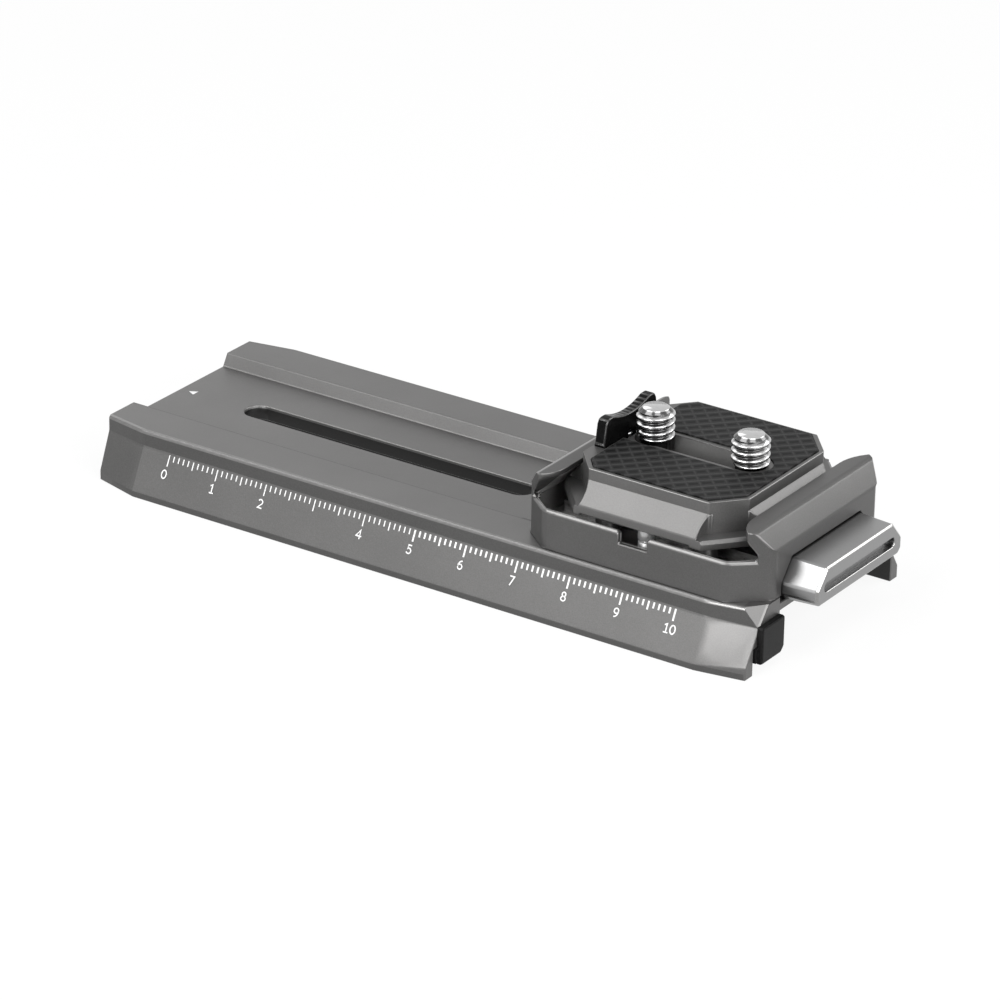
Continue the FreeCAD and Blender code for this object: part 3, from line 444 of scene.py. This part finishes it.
def gripRubber(name, size):
    f = Finish(name)
    x, y, z = f.axes()
    u = x / size["alongX"] + y / size["alongY"] - size["startU"]
    v = x / size["alongX"] - y / size["alongY"] - size["startV"]
    offU = abs((u + size["ahead"]).fraction() - size["middleU"])
    offV = abs((v + size["ahead"]).fraction() - size["middleV"])
    dash = (1 - offU.step(*size["dashLong"])) * (1 - offV.step(*size["dashWide"]))
    ridge = offV.step(*size["ridgeV"]).atLeast(offU.step(*size["ridgeU"]) * size["ridgeShareU"])
    grain = f.noise(size["grainPerMetre"], size["grainDetail"])
    # painted shade on the dashes, painted light on the ridges; one set of ribs gets less of the
    # painted light than the other
    shade = f.blend(dash, grey(size["base"]), grey(size["dark"]))
    paintedRidgeLight = ridge * (size["lightShare"] + grain * size["grainShare"])
    height = size["height"] + ridge * size["height"] - dash * size["height"]
    return f.surface({"Base Color": f.blend(paintedRidgeLight, shade, grey(size["light"])),
                      "Roughness": size["roughness"] - grain * size["roughFall"],
                      "Normal": f.bump(height, size["bump"], size["depth"]),
                      "Metallic": 0.0, "Specular IOR Level": size["gloss"]})


# the long plate's finish carries painted shade, the clamp's and the camera plate's painted light
plateMetal = anodisedMetal("anodisedPlate", anodised, plateShadeMask, paintedPlateShade)
clampMetal = anodisedMetal("anodisedClamp", dict(anodised, **clampTone), insidePocket, pocketPaintedLight)
cameraMetal = anodisedMetal("anodisedCameraPlate", dict(anodised, **cameraTone),
                            insideSlot, slotPaintedLight)
buttonMetal = buttonSatin("satinButton", button)
steelMetal = plainFinish("plainSteel", brushed, dark=0.40, light=0.52, roughness=0.30,
                         stretch=(1.0, 1.0, 3.0))
pinMetal = plainFinish("pinSteel", brushed, dark=0.40, light=0.48, roughness=0.34,
                       stretch=(1.0, 1.0, 3.0), metallic=0.6)
washerMetal = plainFinish("darkWasher", brushed, dark=0.03, light=0.05, roughness=0.45,
                          metallic=0.0)
flapSteel = plainFinish("blackFlap", blackened, dark=0.002, light=0.004, gloss=0.06,
                        roughness=0.30)
blackScrew = plainFinish("blackScrew", blackened, dark=0.014, light=0.022, gloss=0.25,
                         roughness=0.38)
stopSteel = plainFinish("blackStop", blackened, dark=0.004, light=0.009, gloss=0.11,
                        roughness=0.36)
# edge finishes, lighter than each piece's faces: painted highlights
plateEdge = plainFinish("plateEdge", edgeHighlight, dark=0.17, light=0.187, roughness=0.32)
clampEdge = plainFinish("clampEdge", edgeHighlight, dark=0.14, light=0.154, roughness=0.31)
cameraEdge = plainFinish("cameraEdge", edgeHighlight, dark=0.14, light=0.154, roughness=0.30)
buttonEdge = plainFinish("buttonEdge", edgeHighlight, dark=0.27, light=0.297, roughness=0.23,
                         metallic=1.0)
flapEdge = plainFinish("flapEdge", edgeHighlight, dark=0.030, light=0.033, roughness=0.24,
                       metallic=0.3)
padRubber = gripRubber("gripRubber", rubber)
printWhite = plainFinish("printWhite", printed, dark=0.60, light=0.74, roughness=0.55)
print("finishes made")


def paint(obj, material):
    obj.data.materials.clear()
    obj.data.materials.append(material)


def meshFrom(name, bm):
    mesh = bpy.data.meshes.new(name)
    bm.to_mesh(mesh)
    bm.free()
    return mesh


def newPiece(name, mesh, material, body):
    obj = bpy.data.objects.new(name, mesh)
    bpy.context.scene.collection.objects.link(obj)
    paint(obj, material)
    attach(obj, body)
    return obj


def settle(obj):
    # keep the mesh as its modifiers leave it
    graph = bpy.context.evaluated_depsgraph_get()
    final = bpy.data.meshes.new_from_object(obj.evaluated_get(graph), depsgraph=graph)
    obj.modifiers.clear()
    obj.data = final


# Rounded edges. A piece's "special" rules are tried in turn, and the first that fits gives the
# edge's width in mm. A rule's spans are those of the edge's middle (x, z, and out = distance from
# the middle line), of its direction's parts, of its angle and of its narrower face's breadth.
rounding = {
    "weld": 2e-6,
    "sameFace": 0.7,
    "flatAngle": 4.0,
    "bluntAngle": 28.0,
    "bluntNarrow": 1.0,
    "sharpAngle": 25.0,
    "shortest": 1e-6,
    "profile": 0.32,
    "normalWeight": 80,
}


def over(low):
    return (low, math.inf)


def under(high):
    return (-math.inf, high)


def inSpans(facts, spans):
    return all(low < facts[key] < high for key, (low, high) in spans.items())


def brightWhere(spans):
    # a test that picks the rounded faces inside the spans for the painted highlight
    def test(c, n, rounded):
        return rounded and inSpans({"z": c.z, "out": abs(c.y), "up": n.z}, spans)
    return test


def edgeWidth(edge, rules):
    if len(edge.link_faces) != 2:
        return 0.0
    angle = math.degrees(edge.calc_face_angle(0.0))
    length = edge.calc_length()
    if angle < rounding["flatAngle"] or length < rounding["shortest"]:
        return 0.0
    if "hollow" in rules and edge.calc_face_angle_signed(0.0) < 0:
        return rules["hollow"]
    narrow = min(face.calc_area() for face in edge.link_faces) / length * 1000
    a, b = (inMm(v.co) for v in edge.verts)
    middle = (a + b) / 2
    run = (b - a).normalized()
    facts = {"x": middle.x, "out": abs(middle.y), "z": middle.z, "alongX": abs(run.x),
             "alongY": abs(run.y), "alongZ": abs(run.z), "angle": angle, "narrow": narrow}
    for width, spans in rules["special"]:
        if inSpans(facts, spans):
            return width
    if angle < rounding["bluntAngle"] and narrow < rounding["bluntNarrow"]:
        return 0.0
    return rules["width"]


def softened(node, name, material, body, rules):
    # a copy of a CAD solid with its edges rounded as on the real metal
    mesh = nodeOf[node].data.copy()
    bm = bmesh.new()
    bm.from_mesh(mesh)
    bmesh.ops.remove_doubles(bm, verts=bm.verts, dist=rounding["weld"])
    bmesh.ops.dissolve_limit(bm, angle_limit=math.radians(rounding["sameFace"]),
                             verts=bm.verts, edges=bm.edges)
    layer = bm.edges.layers.float.get("bevel_weight_edge")
    layer = layer or bm.edges.layers.float.new("bevel_weight_edge")
    widest = max([rules["width"]] + [width for width, spans in rules["special"]])
    sharp = math.radians(rounding["sharpAngle"])
    for edge in bm.edges:
        edge[layer] = edgeWidth(edge, rules) / widest
        if edge[layer] == 0 and edge.calc_face_angle(0.0) > sharp:
            edge.smooth = False
    for face in bm.faces:
        face.smooth = True
    bm.to_mesh(mesh)
    bm.free()
    obj = newPiece(name, mesh, material, body)
    bevel = obj.modifiers.new("rounding", "BEVEL")
    if "edge" in rules:
        obj.data.materials.append(rules["edge"])
        bevel.material = 1
    bevel.limit_method = "WEIGHT"
    bevel.width = widest / 1000
    bevel.segments = rules["segments"]
    bevel.profile = rounding["profile"]
    bevel.use_clamp_overlap = False
    bevel.miter_outer = "MITER_SHARP"
    normals = obj.modifiers.new("flats", "WEIGHTED_NORMAL")
    normals.weight = rounding["normalWeight"]
    normals.keep_sharp = True
    settle(obj)
    if "edge" in rules:
        # the faces that the piece's test picks get the edge's finish, a painted highlight
        for face in obj.data.polygons:
            rounded = face.material_index == 1
            bright = rules["bright"](inMm(face.center), face.normal, rounded)
            face.material_index = 1 if bright else 0
    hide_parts(node)
    print("rounded", node, len(obj.data.polygons), "faces")


# Long plate
plate = {
    "edge": plateEdge,
    "bright": brightWhere({"z": over(10.4), "out": over(19.0), "up": (0.25, 0.96)}),
    "width": 0.22,
    "segments": 3,
    "special": [
        # blunt bends at the lead-in ends
        (0.6, {"angle": under(28), "narrow": over(1.0), "alongX": under(0.5), "out": over(19)}),
        # the slopes' upper edges
        (0.3, {"alongX": over(0.9), "z": (8.0, 8.5), "out": over(17)}),
        # the underside and the slot's step
        (0.12, {"z": under(8.0), "out": under(21.0)}),
        # the right corners
        (0.07, {"x": over(111.5), "z": over(7.4), "out": over(17.0)}),
        # the left end's outline
        (0.1, {"x": under(-13.9), "alongX": under(0.5)}),
        # slivers
        (0.0, {"narrow": under(0.1)}),
    ],
}
softened("base_plate", "longPlate", plateMetal, "clamp", plate)

# Scale printed on the front slope
scaleMarks = {
    "topY": -21.6,
    "topZ": 8.15,
    "footY": -25.0,
    "footZ": 1.2,
    "start": 0.23,
    "ticks": 101,
    "long": 1.98,
    "middle": 1.42,
    "short": 1.0,
    "thin": 0.21,
    "thick": 0.32,
    "thickFrom": 50,
    "lift": 0.012,
    "digitDown": 3.33,
    "digitTall": 1.62,
    "digitPitch": 0.72,
    "digitShift": -0.2,
    "digitStroke": 0.135,
    "digits": {0: "0", 10: "1", 20: "2", 40: "4", 50: "5", 60: "6", 70: "7", 80: "8",
               90: "9", 100: "10"},
}
arrow = {"points": [(-12.34, -0.25), (-10.9, -1.02), (-10.9, 0.54)], "z": 8.912}


def slopePoint(size, x, down):
    fall = Vector((0, size["footY"] - size["topY"], size["footZ"] - size["topZ"]))
    fall.normalize()
    out = Vector((0, fall.z, -fall.y))
    p = Vector((x, size["topY"], size["topZ"])) + fall * down + out * size["lift"]
    return at(*p)


def scaleTicks(size):
    faces = []
    top = size["start"]
    for x in range(size["ticks"]):
        tall = size["long"] if x % 10 == 0 else size["middle"] if x % 5 == 0 else size["short"]
        half = (size["thin"] if x < size["thickFrom"] else size["thick"]) / 2
        corners = [(x - half, top), (x - half, top + tall), (x + half, top + tall),
                   (x + half, top)]
        faces.append([slopePoint(size, px, down) for px, down in corners])
    return faces


def arc(cx, cy, rx, ry, start, end, count=20):
    points = []
    for i in range(count + 1):
        a = math.radians(start + (end - start) * i / count)
        points.append((cx + rx * math.cos(a), cy + ry * math.sin(a)))
    return points


# centre lines of the digits' strokes in a box one unit tall
digitLines = {
    "0": [arc(0.36, 0.50, 0.28, 0.43, 0, 360)],
    "1": [[(0.12, 0.78), (0.37, 0.93), (0.37, 0.07)], [(0.10, 0.07), (0.62, 0.07)]],
    "2": [arc(0.34, 0.67, 0.25, 0.26, 155, -35) + [(0.10, 0.07), (0.64, 0.07)]],
    "4": [[(0.48, 0.0), (0.48, 0.92), (0.05, 0.30), (0.68, 0.30)]],
    "5": [[(0.58, 0.93), (0.20, 0.93), (0.17, 0.55)] + arc(0.31, 0.34, 0.27, 0.27, 115, -150)],
    "6": [arc(0.37, 0.32, 0.25, 0.25, 0, 360), arc(0.62, 0.36, 0.50, 0.57, 97, 184, 12)],
    "7": [[(0.08, 0.93), (0.62, 0.93), (0.24, 0.0)]],
    "8": [arc(0.36, 0.72, 0.21, 0.21, 0, 360), arc(0.36, 0.29, 0.26, 0.22, 0, 360)],
    "9": [arc(0.35, 0.68, 0.25, 0.25, 0, 360), arc(0.10, 0.64, 0.50, 0.57, -83, 4, 12)],
}


def strokeFaces(line, half):
    # quads along a centre line, mitred where it turns
    count = len(line)
    closed = math.dist(line[0], line[-1]) < 1e-6
    sharpest = 0.45
    sides = []
    for i in range(count):
        before = line[i - 1] if i else line[-2] if closed else line[0]
        after = line[i + 1] if i < count - 1 else line[1] if closed else line[-1]
        here = Vector(line[i])
        ways = [here - Vector(before), Vector(after) - here]
        ways = [w.normalized() for w in ways if w.length > 1e-9]
        normals = [Vector((-w.y, w.x)) for w in ways]
        across = sum(normals, Vector((0, 0))).normalized()
        reach = half / max(across.dot(normals[0]), sharpest)
        sides.append((here - across * reach, here + across * reach))
    return [(a[0], b[0], b[1], a[1]) for a, b in zip(sides, sides[1:])]


def scaleDigits(size):
    faces = []
    tall, pitch = size["digitTall"], size["digitPitch"]
    for x, word in size["digits"].items():
        for i, letter in enumerate(word):
            left = x + size["digitShift"] + (i - len(word) / 2) * pitch * tall
            middle = size["start"] + size["digitDown"] + tall / 2
            for line in digitLines[letter]:
                for quad in strokeFaces(line, size["digitStroke"] / 2):
                    faces.append([slopePoint(size, left + p[0] * tall, middle - p[1] * tall)
                                  for p in quad])
    return faces


def printedPiece(name, faces):
    bm = bmesh.new()
    for corners in faces:
        bm.faces.new([bm.verts.new(p) for p in corners])
    bmesh.ops.remove_doubles(bm, verts=bm.verts, dist=1e-7)
    newPiece(name, meshFrom(name, bm), printWhite, "clamp")


printedPiece("scaleTicks", scaleTicks(scaleMarks))
printedPiece("scaleDigits", scaleDigits(scaleMarks))
printedPiece("arrowMark", [[at(x, y, arrow["z"]) for x, y in arrow["points"]]])
print("scale printed")

# Clamp and jaws
clampShine = {
    "lowZ": 15.6,
    "up": 0.15,
    "rightX": 100,
    "rightLowZ": 17.0,
    "sideways": 0.3,
    "tilt": 0.1,
}


def brightClampEdge(c, n, rounded):
    # the rim and the left jaw's crest, and on the right only the jaw's end profiles, get the
    # painted highlight
    size = clampShine
    if c.z < size["lowZ"] or not rounded:
        return False
    if c.x > size["rightX"]:
        end = abs(n.y) > size["sideways"] and abs(n.z) > size["tilt"]
        return end and c.z > size["rightLowZ"]
    return n.z > size["up"]


clampRounding = {
    "edge": clampEdge,
    "bright": brightClampEdge,
    "width": 0.24,
    "segments": 3,
    "special": [
        # the crests' edges towards the camera plate, narrow so that their flared ends stay clean
        (0.1, {"z": over(22.7), "x": (71.9, 111.0)}),
        # the crests' outer edges
        (0.68, {"z": over(22.8), "alongY": over(0.9)}),
        # the seam between the left jaw's wall and the fixed one
        (0.0, {"x": (76.55, 76.65)}),
        # the notch's upright edges
        (0.2, {"x": (87.0, 95.0), "out": over(18), "alongZ": over(0.9)}),
        # the wall's rim
        (0.54, {"z": (17.8, 17.9), "alongZ": under(0.3), "narrow": over(1.0)}),
        # the wall's upright bends
        (1.1, {"alongZ": over(0.9), "angle": over(20), "out": over(14), "narrow": over(1.2)}),
        # the crests' remaining edges
        (0.32, {"angle": over(15), "z": over(22.3), "alongY": over(0.7)}),
        # the jaws' shoulders
        (0.32, {"z": (19.3, 19.5), "alongY": over(0.9)}),
        # everything low in the clamp
        (0.12, {"z": under(15.6)}),
    ],
}
softened("clamp_body", "clampBody", clampMetal, "clamp", clampRounding)
softened("sliding_jaw", "slidingJaw", clampMetal, "release", clampRounding)

# Camera plate
cameraRounding = {
    "edge": cameraEdge,
    "bright": brightWhere({"z": over(24.0), "up": over(0.25)}),
    "width": 0.22,
    "segments": 3,
    "hollow": 0.0,
    "special": [
        # the slab's lower edges
        (0.12, {"z": under(18.0)}),
        # the slab's upper edges
        (0.07, {"z": (18.7, 19.7)}),
        # the pad's recess and the slot in the top face
        (0.05, {"z": over(24.2), "x": (75.65, 106.05), "out": under(16.0)}),
        # the top face's outline
        (0.16, {"z": over(24.2)}),
    ],
}
softened("camera_plate", "cameraPlate", cameraMetal, "clamp", cameraRounding)
padRounding = {"width": 0.08, "segments": 2, "special": []}
softened("grip_pad", "gripPad", padRubber, "clamp", padRounding)

# Release button
buttonShine = {
    "fromX": 120.1,
    "lowest": -0.3,
    "lipZ": (12.0, 14.0),
    "lipHalf": 11.0,
    "lipUp": 0.1,
    "bevelAhead": (0.3, 0.97),
}


def brightButtonEdge(c, n, rounded):
    # the bevel round the end face and the groove's lower lip get the painted highlight
    size = buttonShine
    if c.x < size["fromX"] or n.z < size["lowest"]:
        return False
    low, high = size["lipZ"]
    if low < c.z < high and abs(c.y) < size["lipHalf"]:
        return rounded and n.z > size["lipUp"]
    low, high = size["bevelAhead"]
    return low < n.x < high


buttonRounding = {
    "edge": buttonEdge,
    "bright": brightButtonEdge,
    "width": 0.3,
    "segments": 4,
    "hollow": 0.0,
    "special": [
        # the sides' long edges, above and below
        (0.35, {"alongX": over(0.9), "out": over(9.0), "z": over(12.5)}),
        (0.3, {"alongX": over(0.9), "out": over(9.0)}),
        # the part inside the jaw
        (0.1, {"x": under(113.5)}),
        # the thumb groove
        (0.13, {"out": under(11.2), "z": (11.9, 14.1)}),
        # the end face's bevel
        (0.12, {"x": over(119.9)}),
    ],
}
softened("release_button", "releaseButton", buttonMetal, "release", buttonRounding)

# Flap and stop, each with finer edges where it meets its seat
flapRounding = {
    "edge": flapEdge,
    "bright": brightWhere({"up": over(-0.5)}),
    "width": 0.22,
    "segments": 3,
    "special": [(0.04, {"z": under(25.2)})],
}
softened("flap", "foldFlap", flapSteel, "flap", flapRounding)
stopRounding = {"width": 0.16, "segments": 3, "special": [(0.05, {"x": under(114.7)})]}
softened("safety_stop", "safetyStop", stopSteel, "stop", stopRounding)

# Turned pieces: rows of (radius, height), one pair for each side
creaseAngle = math.radians(26)


def turned(rows, x, y):
    bm = bmesh.new()
    rings = []
    for row in rows:
        ring = []
        for i, (r, z) in enumerate(row):
            a = 2 * math.pi * i / len(row)
            ring.append(bm.verts.new(at(x + r * math.cos(a), y + r * math.sin(a), z)))
        rings.append(ring)
    for lower, upper in zip(rings, rings[1:]):
        for i in range(len(lower)):
            j = (i + 1) % len(lower)
            bm.faces.new((lower[i], lower[j], upper[j], upper[i]))
    bm.faces.new(list(reversed(rings[0])))
    bm.faces.new(rings[-1])
    for face in bm.faces:
        face.smooth = True
    return bm


def turnedPiece(name, node, bm, material, body, smoothSpan=(0, 0)):
    # edges stay sharp outside the smooth span of heights
    for edge in bm.edges:
        middle = (edge.verts[0].co.z + edge.verts[1].co.z) * 500
        within = smoothSpan[0] <= middle <= smoothSpan[1]
        if edge.calc_face_angle(0.0) > creaseAngle and not within:
            edge.smooth = False
    bmesh.ops.recalc_face_normals(bm, faces=bm.faces)
    obj = newPiece(name, meshFrom(name, bm), material, body)
    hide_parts(node)
    print("turned", name, len(obj.data.polygons), "faces")


# Camera screws, with a real helix
cameraScrew = {
    "profile": [(4.05, 18.2), (4.3, 18.3), (4.4, 18.55), (4.4, 20.05), (4.15, 20.3),
                (2.65, 20.3), (2.45, 20.5), (2.45, 25.0)],
    "headLow": 18.2,
    "neckR": 2.45,
    "neckFlare": 3,
    "threadLow": 25.0,
    "runIn": 0.5,
    "threadR": 3.175,
    "rootR": 2.62,
    "pitch": 1.27,
    "rootShare": 0.14,
    "flankShare": 0.66,
    "roundness": 0.35,
    "top": 30.3,
    "tipR": 2.12,
    "tipSlope": 1.0,
    "socketFlat": 1.75,
    "socketDeep": 1.3,
    "socketChamfer": 0.15,
    "sides": 72,
    "rowStep": 0.05,
    "lastRow": 0.01,
    "topEdge": 0.02,
}


def hexRadius(angle, halfFlat):
    side = math.radians(60)
    return halfFlat / math.cos((angle % side) - side / 2)


def threadRadius(size, angle, z):
    phase = (z / size["pitch"] - angle / (2 * math.pi) + 0.5) % 1.0
    ridge = 1 - abs(2 * phase - 1)
    ridge = min(max((ridge - size["rootShare"]) / size["flankShare"], 0.0), 1.0)
    smooth = ridge * ridge * (3 - 2 * ridge)
    ridge = smooth * size["roundness"] + ridge * (1 - size["roundness"])
    rise = z - size["threadLow"]
    start = min(max(rise / size["runIn"], 0.0), 1.0)
    r = size["rootR"] + (size["threadR"] - size["rootR"]) * ridge * start
    r = min(r, size["neckR"] + max(rise, 0.0) * size["neckFlare"])
    return min(r, size["tipR"] + (size["top"] - z) * size["tipSlope"])


def cameraScrewPiece(name, node, x, body, size):
    sides = size["sides"]
    angles = [2 * math.pi * i / sides for i in range(sides)]
    low, flat, chamfer = size["headLow"], size["socketFlat"], size["socketChamfer"]
    socket = [(flat, low + size["socketDeep"]), (flat, low + chamfer), (flat + chamfer, low)]
    rows = [[(hexRadius(a, halfFlat), z) for a in angles] for halfFlat, z in socket]
    rows += [[pair] * sides for pair in size["profile"]]
    z = size["threadLow"] + size["rowStep"]
    while z < size["top"] - size["lastRow"]:
        rows.append([(threadRadius(size, a, z), z) for a in angles])
        z += size["rowStep"]
    rows.append([(size["tipR"], size["top"])] * sides)
    metal = screwMetal(name + "Metal", x, size["top"], screwToneAndRootShade)
    turnedPiece(name, node, turned(rows, x, 0), metal, body,
                (size["threadLow"], size["top"] - size["topEdge"]))


cameraScrewPiece("cameraScrewLeft", "camera_screw_left", 81.65, "left_screw", cameraScrew)
cameraScrewPiece("cameraScrewRight", "camera_screw_right", 99.6, "right_screw", cameraScrew)

# Locating pin, with its groove above the notch's floor
locatingPin = {
    "x": 91.5,
    "y": -17.3,
    "sides": 48,
    "profile": [(1.1, 11.55), (1.45, 11.75), (1.45, 15.78), (1.38, 15.85), (1.0, 15.85),
                (1.0, 16.2), (1.38, 16.2), (1.5, 16.3), (1.5, 18.95), (1.15, 19.3)],
}
pinRows = [[pair] * locatingPin["sides"] for pair in locatingPin["profile"]]
turnedPiece("locatingPin", "locating_pin", turned(pinRows, locatingPin["x"], locatingPin["y"]),
            pinMetal, "clamp")

# What stays as the CAD has it, with its own finish
plainNodes = {
    "clamp_screws": blackScrew,
    # the deck takes the clamp's finish, with the pocket's painted light where its mask reaches
    "deck_plate": clampMetal,
    "deck_screws": steelMetal,
    "stop_screws": steelMetal,
    "spring_post": steelMetal,
    "flap_pin": steelMetal,
    "return_springs": steelMetal,
    "stop_spring": steelMetal,
    "button_screws": steelMetal,
    "slider_frame": steelMetal,
    "frame_screws": blackScrew,
    "washer_left": washerMetal,
    "washer_right": washerMetal,
}
for nodeName, material in plainNodes.items():
    paint(nodeOf[nodeName], material)
print("plain nodes painted")

# Floor
floorLook = {"half": 6.0, "colour": 0.90, "white": 0.90}


def floorPlane(size):
    f = Finish("paleFloor")
    seen = f.seenDirectly()
    pale = f.add("ShaderNodeBsdfDiffuse", None, {"Color": grey(size["colour"])})
    glow = f.add("ShaderNodeEmission", None, {"Color": grey(1.0), "Strength": 1.0})
    mixed = f.add("ShaderNodeMixShader", None, {0: seen * size["white"], 1: pale, 2: glow})
    f.add("ShaderNodeOutputMaterial", None, {"Surface": mixed})
    bm = bmesh.new()
    h = size["half"]
    bm.faces.new([bm.verts.new(p) for p in ((-h, -h, 0), (h, -h, 0), (h, h, 0), (-h, h, 0))])
    obj = bpy.data.objects.new("floor", meshFrom("floor", bm))
    bpy.context.scene.collection.objects.link(obj)
    paint(obj, f.data)


floorPlane(floorLook)
print("floor laid")

# World and lamps: azimuth and elevation in degrees, sizes in metres
worldLook = {"diffuse": 0.12}
lamps = {
    "key": {"az": -42, "el": 54, "far": 0.70, "wide": 0.38, "tall": 0.34, "level": 5.4},
    "side": {"az": 0, "el": 25, "far": 0.75, "wide": 0.24, "tall": 0.30, "level": 12.0},
    "right": {"az": 70, "el": 27, "far": 0.75, "wide": 0.50, "tall": 0.36, "level": 6.4},
    "rightBack": {"az": 139, "el": 32, "far": 0.80, "wide": 0.45, "tall": 0.26, "level": 5.0},
    "rightLow": {"az": 95, "el": 12, "far": 0.80, "wide": 0.40, "tall": 0.20, "level": 3.2},
    "over": {"az": 57, "el": 64, "far": 0.80, "wide": 0.35, "tall": 0.30, "level": 4.8},
    "leftBack": {"az": -116, "el": 35, "far": 0.80, "wide": 0.50, "tall": 0.30, "level": 1.3},
}


def studioWorld(size):
    world = bpy.data.worlds.new("studio")
    bpy.context.scene.world = world
    f = Finish("studio", world)
    strength = size["diffuse"] + f.seenDirectly() * (1.0 - size["diffuse"])
    back = f.add("ShaderNodeBackground", None, {"Color": grey(1.0), "Strength": strength})
    f.add("ShaderNodeOutputWorld", None, {"Surface": back})


def softbox(name, size):
    az, el = math.radians(size["az"]), math.radians(size["el"])
    way = Vector((math.cos(el) * math.sin(az), -math.cos(el) * math.cos(az), math.sin(el)))
    light = bpy.data.lights.new(name, "AREA")
    light.shape = "RECTANGLE"
    light.size = size["wide"]
    light.size_y = size["tall"]
    light.energy = size["level"] * math.pi * size["wide"] * size["tall"]
    obj = bpy.data.objects.new(name, light)
    obj.location = way * size["far"]
    obj.rotation_euler = way.to_track_quat("Z", "Y").to_euler()
    obj.visible_camera = False
    bpy.context.scene.collection.objects.link(obj)


studioWorld(worldLook)
for lampName, lampSize in lamps.items():
    softbox(lampName, lampSize)
print("light set")

# Camera as in the photograph
view = {
    "place": (0.44505, -0.66644, 0.37365),
    "right": (0.82690, 0.56214, 0.01498),
    "up": (-0.24569, 0.33720, 0.90881),
    "back": (0.50583, -0.75518, 0.41695),
    "lens": 192.49,
    "sensor": 36.0,
    "near": 0.01,
    "far": 20.0,
}
camera = bpy.data.cameras.new("camera")
camera.lens = view["lens"]
camera.sensor_width = view["sensor"]
camera.clip_start = view["near"]
camera.clip_end = view["far"]
eye = bpy.data.objects.new("camera", camera)
turn = Matrix((view["right"], view["up"], view["back"])).transposed()
eye.matrix_world = Matrix.Translation(view["place"]) @ turn.to_4x4()
bpy.context.scene.collection.objects.link(eye)
bpy.context.scene.camera = eye
bpy.context.scene.view_settings.view_transform = "Standard"
print("camera set")
